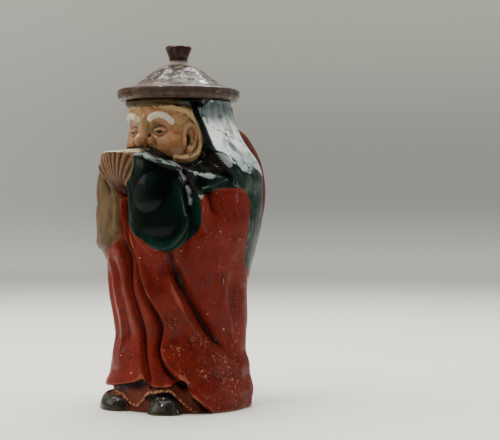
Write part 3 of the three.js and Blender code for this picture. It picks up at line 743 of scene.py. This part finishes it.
def finish_masks(places):
    """Each finish's place as a distance in millimetres inside its edge, at every vertex."""
    x, y, z = places.T
    reach = np.hypot(x, y)
    theta = np.degrees(np.arctan2(x, -y))
    turned = wrap(theta - HEAD_TURN)
    surface = figure_radius(theta, z)
    depth = surface - reach
    eyes = [np.hypot(wrap(turned - side * EYE_ANGLE) * DEGREE * HEAD_GIRTH / 4.0, (z - EYE_HEIGHT + 1) / 0.9)
            for side in (-1, 1)]
    irises = [np.hypot(wrap(turned - side * EYE_ANGLE) * DEGREE * HEAD_GIRTH, z - EYE_HEIGHT + 0.8)
              for side in (-1, 1)]
    brows = [crest(beside(turned, z, brow, HEAD_GIRTH)[0], 2.1, 2.1) * ease(40, 34, abs(turned))
             for brow in (brow_line(-1), brow_line(1))]
    cuff_side, cuff_part = beside(theta, z, CUFF)
    rim, _ = beside(turned, z, HOOD_RIM)
    fan = np.arctan2((theta - PLEAT_FOCUS[0]) * DEGREE * GIRTH, z - PLEAT_FOCUS[1])
    shoe = np.maximum(*[swelling(theta, z, *one) for one in SHOES])
    tongue, _ = beside(theta, z, GREEN_TONGUE)
    glint, _ = beside(theta, z, GLINT_RUN)
    return {
        "green": within(theta, z, GREEN_GLAZE),
        "white": within(theta, z, WHITE_GLAZE),
        "tan": within(theta, z, TAN_SLEEVE),
        "face": np.minimum(within(turned, z, FACE, HEAD_GIRTH),
                           z - collar_height(theta) + 0.6 - 2.2 * ease(12, 22, theta)),
        "rim": np.minimum(2.4 - abs(rim), z - collar_height(theta) + 1),
        "brows": np.maximum(*brows) * 4 - 1.6,
        "eyes": 1 - np.minimum(*eyes),
        "irises": np.minimum(1.5 - np.minimum(*irises), (1 - np.minimum(*eyes)) * 2),
        "cuff": np.minimum(cuff_half_width(cuff_part) - abs(cuff_side), 166.4 - z),
        "cuff_top": z - 163.7,
        "pleats": np.sin(fan * CUFF_PLEATS),
        "band": np.minimum(z - 192.6, (74 - theta) * DEGREE * HEAD_GIRTH),
        "tongue": 2.6 - abs(tongue),
        "hem": np.where(outer_hem(theta) > 2, outer_hem(theta) - z, -9),
        "shoes": np.minimum(inner_hem(theta) - z, shoe - 2),
        "hem_edge": np.minimum(0.9 - abs(z - inner_hem(theta) - 1), outer_hem(theta) - 1 - z),
        # Where a highlight is painted along the sleeve's rolled top edge.
        "glint": 1.2 - abs(glint),
        "shawl": within(theta, z, SHAWL_ROLLS),
        "margin": 1.8 - abs(beside(theta, z, SLEEVE_MARGIN)[0]),
        "behind": ease(92, 108, abs(theta)),
        "scuffs": (ease(120, 40, z) * ease(10, 75, theta) * ease(190, 150, theta)
                   + sum(swelling(theta, z, *spot) for spot in SCUFFED_SPOTS)),
        "strap": np.where(z > 60, reach - surface - 1.2, -9),
        "inside": np.minimum(depth - 2.4, z - 3),
        "underside": np.where(depth > -0.5, 0.4 - z, -9),
    }


# How many times the surface is smoothed to tell its crests from its hollows.
RELIEF_PASSES = 40


def relief_of(mesh):
    """How far each vertex stands proud of the surface around it, in millimetres."""
    places = places_of(mesh)
    pairs = np.empty(len(mesh.edges) * 2, int)
    mesh.edges.foreach_get("vertices", pairs)
    a, b = pairs.reshape(-1, 2).T
    count = np.bincount(a, minlength=len(places)) + np.bincount(b, minlength=len(places))
    smooth = places.copy()
    for _ in range(RELIEF_PASSES):
        total = [np.bincount(a, smooth[b, k], len(places)) + np.bincount(b, smooth[a, k], len(places))
                 for k in range(3)]
        smooth = 0.5 * smooth + 0.5 * np.stack(total, axis=1) / np.maximum(count, 1)[:, None]
    normals = np.empty(len(places) * 3)
    mesh.vertices.foreach_get("normal", normals)
    return np.sum((places - smooth) * normals.reshape(-1, 3), axis=1)


def store(mesh, values):
    """Each named value at every vertex, where the materials find it."""
    for name, value in values.items():
        mesh.attributes.new(name, "FLOAT", "POINT").data.foreach_set("value", value.astype(np.float32))


def lid_mesh():
    """From under the top of the dome out to the flange, the brim and up over the dome to the knob,
    a little out of round, with a glaze edge that drips over the brim and faint waves on the dome."""
    inside = FLANGE_RADIUS - LID_WALL
    flange_foot = LID_SEAT - FLANGE_DEPTH
    hollow = smooth_course([
        (0, DOME_TOP - LID_WALL), (0.4 * inside, DOME_TOP - LID_WALL - 1.5), (0.75 * inside, DOME_FOOT + 1.5),
        (inside, BRIM_TOP - 2), (inside, LID_SEAT)], 5)
    flange = [(inside, flange_foot + 0.8), (inside + 0.8, flange_foot), (FLANGE_RADIUS - 0.8, flange_foot),
              (FLANGE_RADIUS, flange_foot + 0.8), (FLANGE_RADIUS, LID_SEAT - 0.6),
              (FLANGE_RADIUS + 0.6, LID_SEAT)]
    edge = smooth_course([
        (FLANGE_RADIUS + 3, LID_SEAT + 0.02), (BRIM_RADIUS - 3, LID_SEAT + 0.3),
        (BRIM_RADIUS - 1, LID_SEAT + 1.4), (BRIM_RADIUS - 0.15, LID_SEAT + 3),
        (BRIM_RADIUS, LID_SEAT + 4.8), (BRIM_RADIUS - 0.3, LID_SEAT + 6.6),
        (BRIM_RADIUS - 1.3, BRIM_TOP), (BRIM_RADIUS - 3.2, BRIM_TOP + 0.5), (FLANGE_RADIUS + 5, BRIM_TOP + 1),
        (FLANGE_RADIUS + 2.6, BRIM_TOP + 1.7), (FLANGE_RADIUS + 0.4, DOME_FOOT)], 6)
    dome = smooth_course([
        (FLANGE_RADIUS + 0.4, DOME_FOOT), (26.6, DOME_FOOT + 1.6), (24.4, DOME_FOOT + 3.3),
        (21, DOME_FOOT + 5.9),
        (17.2, DOME_FOOT + 8.9), (13.8, DOME_FOOT + 11.2), (10.6, DOME_FOOT + 12.7), (7.9, DOME_TOP),
        (KNOB_WAIST + 0.3, DOME_TOP + 1.3), (KNOB_WAIST, DOME_TOP + 2.8), (KNOB_WAIST + 0.3, DOME_TOP + 4.7),
        (KNOB_WAIST + 1.5, DOME_TOP + 8), (KNOB_RADIUS - 0.1, KNOB_TOP - 2.6), (KNOB_RADIUS, KNOB_TOP - 1.7),
        (KNOB_RADIUS - 0.5, KNOB_TOP - 0.7), (KNOB_RADIUS - 1.6, KNOB_TOP - 0.1), (4, KNOB_TOP - 0.3),
        (0, KNOB_TOP - 0.4)], 5)[1:]
    profile = [*map(tuple, hollow), *flange, *map(tuple, edge), *map(tuple, dome)]
    profile = [(max(radius, 0) * MM, height * MM) for radius, height in profile]
    profile[0] = (0, profile[0][1])
    profile[-1] = (0, profile[-1][1])
    mesh = spun_mesh("lid_dome", profile, 160)
    x, y, z = places_of(mesh).T
    angle = np.arctan2(x, -y)
    reach = np.hypot(x, y)
    wobble = 1 + 0.0035 * np.sin(3 * angle + 0.6) * ease(LID_SEAT + 0.2, LID_SEAT + 3.2, z)
    drips = LID_SEAT + 5.7 + 0.35 * np.sin(angle * 23 + 2 * np.sin(angle * 5)) + 0.3 * np.sin(angle * 7 + 1)
    on_brim = ease(FLANGE_RADIUS + 1.5, FLANGE_RADIUS + 5.5, reach)
    wobble += 0.35 / np.maximum(reach, 1) * ease(drips - 0.3, drips + 0.3, z) * on_brim
    waves = 0.03 * np.sin(reach * 1.9) + 0.07 * np.sin(reach * 0.9 + 5 * angle)
    lift = waves * ease(DOME_FOOT - 1, DOME_FOOT + 1, z) * ease(DOME_TOP - 0.5, DOME_TOP - 3.5, z)
    place_vertices(mesh, np.stack([x * wobble, y * wobble, z + lift], axis=1))
    return mesh


# Materials. A pattern is a value that varies over the piece, and goes by its name. A window is a
# pattern with the value at which something starts and the one at which it is whole. A tint is a
# colour with its strength and the windows in which it lies. A strength may be a pattern too.

def colour(text):
    """A colour from its sRGB hex value, as the shader wants it."""
    parts = [int(text[i:i + 2], 16) / 255 for i in (1, 3, 5)]
    return (*[c / 12.92 if c <= 0.04045 else ((c + 0.055) / 1.055)**2.4 for c in parts], 1)


def add(tree, kind, inputs, output=0, **settings):
    """Adds one node with its settings, links or sets its inputs, and gives back one of its outputs."""
    node = tree.nodes.new("ShaderNode" + kind)
    for name, value in settings.items():
        setattr(node, name, value)
    for name, value in inputs.items():
        if isinstance(value, bpy.types.NodeSocket):
            tree.links.new(value, node.inputs[name])
        else:
            node.inputs[name].default_value = colour(value) if isinstance(value, str) else value
    return node.outputs[output]


def material(name):
    """A new material with its tree and its main shader."""
    made = bpy.data.materials.new(name)
    made.use_nodes = True
    return made, made.node_tree, made.node_tree.nodes["Principled BSDF"]


def patterns_on(tree, clouds, sums=(), stored=()):
    """The patterns by name: where a point is in millimetres, the values stored on the mesh, cloudy
    variation and sums of one pattern, so many times, with another or with a number."""
    metres = add(tree, "TexCoord", {}, "Object")
    place = add(tree, "VectorMath", {0: metres, "Scale": 1 / MM}, operation="SCALE")
    seen = {"place": place}
    for name, axis in (("across", "X"), ("height", "Z")):
        seen[name] = add(tree, "SeparateXYZ", {"Vector": place}, axis)
    for name in stored:
        seen[name] = add(tree, "Attribute", {}, "Fac", attribute_name=name)
    for name, (size, upright, detail, harshness, swirl) in clouds.items():
        drawn_out = add(tree, "Mapping", {"Vector": place, "Scale": (1, 1, upright)})
        seen[name] = add(tree, "TexNoise", {"Vector": drawn_out, "Scale": 1 / size, "Detail": detail,
                                            "Roughness": harshness, "Distortion": swirl})
    for name, pattern, times, plus in sums:
        seen[name] = add(tree, "Math", {0: seen[pattern], 1: times, 2: seen.get(plus, plus)},
                         operation="MULTIPLY_ADD")
    return seen


def share_of(tree, seen, strength, windows):
    """How much of something lies at a point: its strength, where all of its windows are open."""
    share = seen.get(strength, strength)
    for pattern, start, whole in windows:
        share = add(tree, "MapRange", {
            "Value": seen.get(pattern, pattern), "From Min": start, "From Max": whole, "To Max": share},
            interpolation_type="SMOOTHSTEP")
    return share


def tinted(tree, seen, ground, tints):
    """A ground colour with one tint after another over it."""
    result = seen.get(ground, ground)
    for tint, strength, *windows in tints:
        share = share_of(tree, seen, strength, windows)
        result = add(tree, "Mix", {0: share, 6: result, 7: seen.get(tint, tint)}, 2, data_type="RGBA")
    return result


def add_recipes(tree, seen, colours, values):
    """Adds to the patterns each colour, a ground with its tints, and each value that passes from one
    to another by a strength and windows."""
    for name, (ground, *tints) in colours.items():
        seen[name] = tinted(tree, seen, ground, tints)
    for name, (low, high, strength, *windows) in values.items():
        share = share_of(tree, seen, strength, windows)
        seen[name] = add(tree, "Mix", {0: share, 2: seen.get(low, low), 3: seen.get(high, high)})


def brushed_over(tree, below, above, share):
    """One finish over another: its colour, roughness, coat and height."""
    over = add(tree, "Mix", {0: share, 6: below[0], 7: above[0]}, 2, data_type="RGBA")
    return [over] + [add(tree, "Mix", {0: share, 2: old, 3: new}) for old, new in zip(below[1:], above[1:])]


def finish_shader(tree, shader, finish, bump_height):
    """Colour, roughness and coat to the shader, and the height to its normal."""
    surface_colour, roughness, coat, height = finish
    tree.links.new(surface_colour, shader.inputs["Base Color"])
    tree.links.new(roughness, shader.inputs["Roughness"])
    tree.links.new(coat, shader.inputs["Coat Weight"])
    normal = add(tree, "Bump", {"Height": height, "Strength": 1.0, "Distance": bump_height * MM})
    tree.links.new(normal, shader.inputs["Normal"])


# Cloudy patterns: (patch size in millimetres, upright share, detail, harshness, swirl). A share below
# one draws the patches out upright. The grit of the clay is finer than half a millimetre, and is
# drawn as coarse as it shows.
FIGURE_CLOUDS = {
    "broad": (16, 1, 3, 0.55, 0), "medium": (5, 1, 3, 0.55, 0), "fine": (1.4, 1, 3, 0.55, 0),
    "grit": (0.5, 1, 2, 0.55, 0), "runs": (4, 0.3, 4, 0.55, 0), "strokes": (1.1, 0.1, 3, 0.55, 0),
    "grains": (1.3, 1, 4, 0.7, 0), "patches": (13, 1, 3, 0.55, 0), "flecks": (2.4, 1, 1, 0.4, 0),
    "milky": (9, 0.3, 2, 0.55, 0.5), "pools": (11, 1, 3, 0.55, 0), "mossy": (7, 1, 3, 0.55, 1),
    "ruddy": (3.5, 1, 4, 0.55, 0), "stains": (18, 1, 3, 0.55, 0)}
LID_CLOUDS = {
    "broad": (14, 1, 3, 0.55, 0), "medium": (4.5, 1, 3, 0.55, 0.8), "fine": (1.1, 1, 3, 0.55, 0)}

# Sums: (name, pattern, times, plus).
# Sums over the relief set where highlights are painted on ridges and crests, and where shade is painted in
# grooves and recesses.
FIGURE_SUMS = [
    ("wander", "medium", 5, -2.5), ("small_wander", "fine", 1.6, -0.8), ("rubbed_and_lit", "strokes", 1.2, "relief"),
    ("shade_relief", "medium", -0.3, "relief"), ("scuffed", "scuffs", 0.07, "grains"),
    ("thinned", "broad", 1.6, "relief"), ("crests", "fine", 1, "relief"), ("crown", "medium", 12, "height"),
    ("face_shade_relief", "fine", 0.3, "relief"), ("glint_edge", "small_wander", 1, "glint"),
    ("shawl_edge", "wander", 1, "shawl"), ("roll_glint", "small_wander", 1, "shawl")]
LID_SUMS = [("rightness", "broad", 30, "across")]

# Pale clay shows through as dust where the slip is scuffed in patches, and as lone flecks.
DUST_STRENGTH = 0.65
SCUFFED_WINDOWS = [("scuffed", 0.66, 0.70), ("patches", 0.5, 0.58)]
FLECK_WINDOWS = [("flecks", 0.765, 0.79)]

# The cracks in the white glaze lie about as far apart as their spacing, and are bent by up to the
# bend, over patches of the bend's size.
CRACK_SPACING = 21
CRACK_BEND = 16
CRACK_BEND_SIZE = 9

# Colours of the figure's finishes: a ground, then its tints.
FIGURE_COLOURS = {
    # Red slip, mottled and faintly brushed, pale on ridges from rubbing and from a painted highlight, near
    # black in its grooves as painted shade, dusted.
    "red": [
        "#5b170f", ("#6a1e13", 1, ("broad", 0.35, 0.65)), ("#430f0a", 0.6, ("medium", 0.5, 0.72)),
        ("#8a3425", 0.3, ("strokes", 0.52, 0.72)), ("#a35a45", 0.5, ("rubbed_and_lit", 1.75, 2.4)),
        ("#180402", 0.92, ("shade_relief", -0.4, -1.5)), ("#c89c7c", "dusted")],
    # The same slip, darker on the handle, and thinner and browner on the under-robe, with painted shade in
    # its recesses and its edge pale from wear and from a painted highlight.
    "handle_red": ["red", ("#2a0a08", 0.5)],
    "brown": ["#55221a", ("#6b3425", "broad"), ("#120604", 1, ("shade_relief", -0.2, -1.0))],
    "worn": ["#6a2a1c", ("#b98a68", 1, ("fine", 0.42, 0.6))],
    # A thin grey-green glaze over dark clay on the shoes.
    "shoe_grey": ["#20201c", ("#3c3a32", 1, ("medium", 0.4, 0.7))],
    # A buff wash on the far sleeve, with brown painted shade in its folds, and the near sleeve's buff margin.
    "buff": [
        "#4d3c29", ("#5f4e38", 1, ("runs", 0.35, 0.65)), ("#5a3526", 0.7, ("medium", 0.5, 0.75)),
        ("#2b120a", 1, ("shade_relief", -0.3, -0.9))],
    "margin_buff": ["#6d5238", ("#8f7656", "fine")],
    # Green glaze, nearly black where thick, greener where thin and by its edge, milky grey where it ran thin
    # behind, with a pale grey line painted as a highlight on the rolled edge, plum brown by the neck, and
    # pale rolls whose crests carry a painted highlight.
    "grey_green": ["#0c1f18", ("#26372f", 1, ("medium", 0.4, 0.65)), ("#56625d", 0.7, ("runs", 0.56, 0.66))],
    "dark_green": [
        "#020504", ("#062118", 1, ("thinned", 0.7, 1.9)),
        ("#0a2a22", 0.85, ("green", 9, 1), ("broad", 0.35, 0.6)),
        ("grey_green", "behind", ("runs", 0.3, 0.6)),
        ("#8a9596", 0.7, ("glint_edge", -0.6, 0.6), ("medium", 0.4, 0.52)),
        ("#241c1b", 0.8, ("shawl_edge", -1, 1), ("broad", 0.42, 0.56)),
        ("#98a1a2", 0.7, ("roll_glint", -0.5, 0.5), ("crests", 1.35, 1.6))],
    # Opal white that ran, blue-grey between, white where thick with a painted highlight at mid height, darker
    # at the crown, dark in its cracks.
    "opal": [
        "#5a6c73", ("#a9b8ba", 1, ("milky", 0.38, 0.6)),
        ("#f2f8f6", 0.95, ("pools", 0.4, 0.52), ("height", 158, 172)), ("#46555a", 0.9, ("crown", 183, 196)),
        ("#0c1c1b", 0.85, ("cracks", 0.032, 0.014), ("medium", 0.38, 0.46))],
    # A thin warm glaze on the face, with brown painted shade where it is sunken and a pale painted highlight
    # on what stands proud.
    "skin": [
        "#96714e", ("#7e4f37", 1, ("medium", 0.35, 0.7)), ("#a0845f", 0.6, ("broad", 0.45, 0.65)),
        ("#6a6040", 0.5, ("mossy", 0.5, 0.62)), ("#8f452c", 0.45, ("ruddy", 0.52, 0.64)),
        ("#2c190f", 1, ("face_shade_relief", 0, -0.8)), ("#b08c69", 0.7, ("relief", 0.3, 1.4))],
    "rim_buff": ["#8a6c48", ("#b79a72", "medium")],
    "brow_grey": ["#a39a80", ("#d8d2c0", "fine")],
    # Buff clay on the cuff, with brown painted shade between its pleats and darker painted shade at its lower
    # end, and a top edge thick with cream glaze.
    "pleated": [
        "#38231a", ("#7c6048", 1, ("pleats", -0.9, 0.9)), ("#5d3a29", 0.5, ("fine", 0.45, 0.7)),
        ("#3a120b", 0.8, ("cuff_top", -14, -22))],
    "cream": ["#80694a", ("#dcd3b8", 1, ("fine", 0.35, 0.6))],
    # The plain band under the lid, the glazed inside and the bare clay underneath.
    "olive": ["#463a20", ("#070502", 1, ("stains", 0.4, 0.6))],
    "liner": ["#2c1e15", ("#3d2c1f", "medium")],
    "bare_clay": ["#927a60", ("#7c654d", "fine")],
}

# Values that vary: from, to, strength and windows.
FIGURE_VALUES = {
    "slip_roughness": (0.42, 0.7, "fine"),
    "slip_coat": (0.1, 0.45, 1, ("medium", 0.45, 0.7)),
    "slip_height": ("strokes", "grit", 0.35),
    "green_coat": (0.3, 0.16, "behind"),
}

# Finishes of the figure from the lowest up: where each lies and how soft its edge is in millimetres,
# what its edge wanders by, and its colour, roughness, coat and height. The slip lies under them all.
RED_SLIP = ("red", "slip_roughness", "slip_coat", "slip_height")
FIGURE_FINISHES = [
    ({"hem": 0.5}, 0, "brown", "slip_roughness", "slip_coat", "slip_height"),
    ({"hem_edge": 1.0}, "small_wander", "worn", "slip_roughness", "slip_coat", "slip_height"),
    ({"shoes": 0.5}, 0, "shoe_grey", 0.4, 0.6, 0.5),
    ({"tan": 1.2}, "small_wander", "buff", 0.5, 0.1, "fine"),
    ({"margin": 1.0}, "small_wander", "margin_buff", 0.5, 0.1, "fine"),
    ({"green": 0.7}, "small_wander", "dark_green", 0.4, "green_coat", "broad"),
    ({"face": 0.8}, "small_wander", "skin", 0.4, 0.45, "medium"),
    ({"rim": 0.8}, "small_wander", "rim_buff", 0.4, 0.45, "medium"),
    ({"cuff": 0.8}, "small_wander", "pleated", 0.45, 0.25, "fine"),
    ({"cuff": 0.8, "cuff_top": 1.0}, "small_wander", "cream", 0.4, 0.5, "medium"),
    ({"white": 1.0}, "wander", "opal", 0.4, 1.0, "milky"),
    ({"band": 1.4}, "wander", "olive", 0.4, 0.3, "medium"),
    ({"tongue": 1.2}, "small_wander", "#04100d", 0.4, 1.0, "medium"),
    ({"brows": 0.8}, "small_wander", "brow_grey", 0.4, 0.3, "medium"),
    ({"eyes": 0.25}, 0, "#5c4d3a", 0.4, 0.4, "medium"),
    ({"irises": 0.5}, 0, "#120b08", 0.4, 0.4, "medium"),
    ({"strap": 1.0}, "wander", "handle_red", "slip_roughness", 0.5, "slip_height"),
    ({"inside": 1.0}, "small_wander", "liner", 0.4, 0.7, "medium"),
    ({"underside": 0.2}, 0, "bare_clay", 0.85, 0, "grit"),
]
GLAZE_BUMP = 0.25


def cracks_in(tree, place):
    """Distance to the nearest of the bent cracks, as a share of their spacing."""
    bend = add(tree, "TexNoise", {"Vector": place, "Scale": 1 / CRACK_BEND_SIZE, "Detail": 3}, "Color")
    bent = add(tree, "VectorMath", {0: bend, 1: (CRACK_BEND,) * 3, 2: place}, operation="MULTIPLY_ADD")
    return add(tree, "TexVoronoi", {"Vector": bent, "Scale": 1 / CRACK_SPACING}, feature="DISTANCE_TO_EDGE")


def figure_material(stored):
    """Stoneware in several finishes: a dry iron-red slip, dark green and opal-white lead glazes
    that ran in the kiln, and thin ochre washes. The eye sees a dull, speckled red cloth against
    wet-looking dark green and milky, cracked white."""
    made, tree, shader = material("slipped_and_glazed_stoneware")
    seen = patterns_on(tree, FIGURE_CLOUDS, FIGURE_SUMS, stored)
    seen["cracks"] = cracks_in(tree, seen["place"])
    dust = share_of(tree, seen, DUST_STRENGTH, SCUFFED_WINDOWS)
    flecks = share_of(tree, seen, DUST_STRENGTH, FLECK_WINDOWS)
    seen["dusted"] = add(tree, "Math", {0: dust, 1: flecks}, operation="MAXIMUM")
    add_recipes(tree, seen, FIGURE_COLOURS, FIGURE_VALUES)
    finish = [seen[part] for part in RED_SLIP]
    for edges, wander, *above in FIGURE_FINISHES:
        moved = {mask: add(tree, "Math", {0: seen[mask], 1: seen.get(wander, wander)}, operation="ADD")
                 for mask in edges}
        windows = [(moved[mask], -width / 2, width / 2) for mask, width in edges.items()]
        finish = brushed_over(tree, finish, [seen.get(part, part) for part in above],
                              share_of(tree, seen, 1, windows))
    finish_shader(tree, shader, finish, GLAZE_BUMP)
    shader.inputs["Specular IOR Level"].default_value = 0.06
    shader.inputs["Coat Roughness"].default_value = 0.07
    shader.inputs["Coat IOR"].default_value = 1.32
    return made


# The lid's glaze by height: over the dome, from the knob's foot up, and round the knob's waist, where a
# highlight is painted.
ON_DOME = [("height", DOME_FOOT + 0.5, DOME_FOOT + 3.5), ("height", DOME_TOP + 1, DOME_TOP - 2)]
ABOVE_RIM = ("height", LID_SEAT - 1.3, LID_SEAT + 1.2)
ON_KNOB = ("height", DOME_TOP + 1, DOME_TOP + 3)
ROUND_WAIST = [("height", DOME_TOP - 0.3, DOME_TOP + 0.7), ("height", DOME_TOP + 3.5, DOME_TOP + 2)]
LID_COLOURS = {
    "grey": ["#2c2823", ("#57514a", "medium")],
    "dome_dark": ["#1c110d", ("#33241d", "fine")],
    "cloud": ["#454c41", ("#8f9282", 1, ("fine", 0.4, 0.6))],
    "knob_brown": ["#220d07", ("#3f1c10", "medium")],
    # Iron brown, greyer to the right, dark on the dome with pale clouds, and a pale line at the waist that is
    # a painted highlight.
    "glaze": [
        "#26120c", ("#45231a", 1, ("medium", 0.35, 0.65)), ("#6b4632", 0.6, ("fine", 0.52, 0.68)),
        ("grey", 0.6, ("rightness", 0, 35)), ("dome_dark", 0.8, *ON_DOME),
        ("cloud", 0.6, *ON_DOME, ("medium", 0.47, 0.6)), ("knob_brown", 1, ON_KNOB),
        ("#8f877d", 0.8, *ROUND_WAIST)],
}
LID_VALUES = {
    "roughness": (0.95, 0.4, 1, ABOVE_RIM),
    "wetness": (0.1, 0.6, 1, ("medium", 0.45, 0.56)),
    "coat": (0, "wetness", 1, ABOVE_RIM),
    "bumps": ("medium", "fine", 0.4),
}


def lid_material():
    """Stoneware under a glossy iron-brown glaze that broke into grey and milky green streaks where
    it is thick on the dome. It looks like polished dark metal with pale clouds. The flange is bare."""
    made, tree, shader = material("iron_glazed_stoneware")
    seen = patterns_on(tree, LID_CLOUDS, LID_SUMS)
    add_recipes(tree, seen, LID_COLOURS, LID_VALUES)
    finish_shader(tree, shader, [seen[part] for part in ("glaze", "roughness", "coat", "bumps")], GLAZE_BUMP)
    shader.inputs["Specular IOR Level"].default_value = 0.05
    shader.inputs["Coat Roughness"].default_value = 0.08
    shader.inputs["Coat IOR"].default_value = 1.36
    return made


# The jug.
strap = new_object(handle_strap())
body = joined(new_object(carved_body()), strap)
body.name = "figure"
masks = finish_masks(places_of(body.data))
masks["relief"] = relief_of(body.data)
store(body.data, masks)
body.data.materials.clear()
body.data.materials.append(figure_material(masks))
lid = new_object(lid_mesh())
lid.data.materials.append(lid_material())
for piece, node, slot in ((body, "jug_body", "glazed_figure"), (lid, "lid", "glazed_lid")):
    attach(piece, "root")
    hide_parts(node)

# Floor: a wide pale sheet that is fully there as far as the first of these, and gone at the second.
FLOOR_WHOLE = 800
FLOOR_GONE = 2300
FLOOR_RINGS = [0, 500, 1200, 2400]
FLOOR_DROP = 0.2
PAPER_CLOUDS = {"tones": (400, 1, 3, 0.55, 0)}


def paper_material():
    """Pale matt paper that fades out with distance, so that the floor has no edge."""
    made, tree, shader = material("pale_paper")
    seen = patterns_on(tree, PAPER_CLOUDS)
    seen["distance"] = add(tree, "VectorMath", {0: seen["place"]}, "Value", operation="LENGTH")
    tree.links.new(tinted(tree, seen, "#dadad4", [("#dededa", "tones")]), shader.inputs["Base Color"])
    tree.links.new(share_of(tree, seen, 1, [("distance", FLOOR_GONE, FLOOR_WHOLE)]), shader.inputs["Alpha"])
    shader.inputs["Roughness"].default_value = 0.9
    shader.inputs["Specular IOR Level"].default_value = 0.1
    return made


floor = new_object(spun_mesh("floor", [(ring * MM, -FLOOR_DROP * MM) for ring in FLOOR_RINGS], 64))
floor.data.materials.append(paper_material())

# Camera, as the picture was taken: level, from the figure's front left, at mid height, with the
# horizon a little above the picture's middle. Its distance and height are metres.
PICTURE_WIDTH = 500
SENSOR_WIDTH = 36
FOCAL_PIXELS = 1328
CAMERA_DISTANCE = 0.869
CAMERA_HEIGHT = 0.1273
CAMERA_ANGLE = 45
JUG_PIXEL = 178.5
HORIZON_PIXELS = 10
up = Vector((0, 0, 1))
back = Vector((math.sin(CAMERA_ANGLE * DEGREE), -math.cos(CAMERA_ANGLE * DEGREE), 0))
right = Vector((math.cos(CAMERA_ANGLE * DEGREE), math.sin(CAMERA_ANGLE * DEGREE), 0))
pitch = math.atan(HORIZON_PIXELS / FOCAL_PIXELS)
lens = bpy.data.cameras.new("camera")
lens.sensor_width = SENSOR_WIDTH
lens.lens = SENSOR_WIDTH * FOCAL_PIXELS / PICTURE_WIDTH
camera = bpy.data.objects.new("camera", lens)
bpy.context.scene.collection.objects.link(camera)
aside = (JUG_PIXEL - PICTURE_WIDTH / 2) / FOCAL_PIXELS * CAMERA_DISTANCE
camera.location = back * CAMERA_DISTANCE - right * aside + up * CAMERA_HEIGHT
looking = back * -math.cos(pitch) - up * math.sin(pitch)
camera.rotation_mode = "QUATERNION"
camera.rotation_quaternion = looking.to_track_quat("-Z", "Y")
bpy.context.scene.camera = camera

# Soft lamps that face the jug's middle: where each stands in metres, its size, watts and tint.
JUG_MIDDLE = up * 0.11
SOFTBOXES = {
    "overhead": (up * 1.15 - back * 0.1 - right * 0.05, (1.3, 1.1), 28, "#fffdf8"),
    "strip": (up * 1.0 - back * 0.75 + right * 0.1, (0.8, 0.1), 8, "#fffdf8"),
    "left": (up * 1.1 + back * 0.3 - right * 1.6, (1.3, 1.3), 17, "#fffaf2"),
    "small_lamp": (up * 0.9 + back * 0.45 - right * 0.35, (0.1, 0.1), 2.4, "#fffaf2"),
    "right": (up * 0.3 + back * 0.2 + right * 1.1, (0.1, 0.4), 2.2, "#fbfcff"),
}
for name, (place, size, watts, tint) in SOFTBOXES.items():
    light = bpy.data.lights.new(name, "AREA")
    light.shape = "RECTANGLE"
    light.size, light.size_y = size
    light.energy = watts
    light.color = colour(tint)[:3]
    lamp = bpy.data.objects.new(name, light)
    lamp.location = place
    lamp.rotation_mode = "QUATERNION"
    lamp.rotation_quaternion = (JUG_MIDDLE - lamp.location).to_track_quat("-Z", "Y")
    bpy.context.scene.collection.objects.link(lamp)

# The room's tones, by how far a look rises, points to the right or to the camera. Below the horizon
# the room is brighter than white, as lit paper.
LIT_PAPER = (1.5, 1.5, 1.35, 1)
ROOM_TONES = [
    ("#b9b8aa", 1, ("rise", 0.03, 0.17)), ("#c6c6bf", 1, ("rise", 0.01, -0.05)),
    (LIT_PAPER, 1, ("rise", -0.045, -0.1)), ("#cfcec2", 0.35, ("aside", -0.02, -0.2)),
    ("#2e2d2b", 1, ("toward", -0.3, 0.4))]


def room():
    """A grey room as a gradient: bright low down behind the jug, like paper that curves up from the
    floor, mid grey above, and dark on the side that the camera stands."""
    world = bpy.data.worlds.new("room")
    world.use_nodes = True
    tree = world.node_tree
    way = add(tree, "TexCoord", {}, "Generated")
    seen = {}
    for name, axis in (("rise", up), ("toward", back), ("aside", right)):
        seen[name] = add(tree, "VectorMath", {0: way, 1: tuple(axis)}, "Value", operation="DOT_PRODUCT")
    tree.links.new(tinted(tree, seen, "#999892", ROOM_TONES), tree.nodes["Background"].inputs["Color"])
    bpy.context.scene.world = world


room()
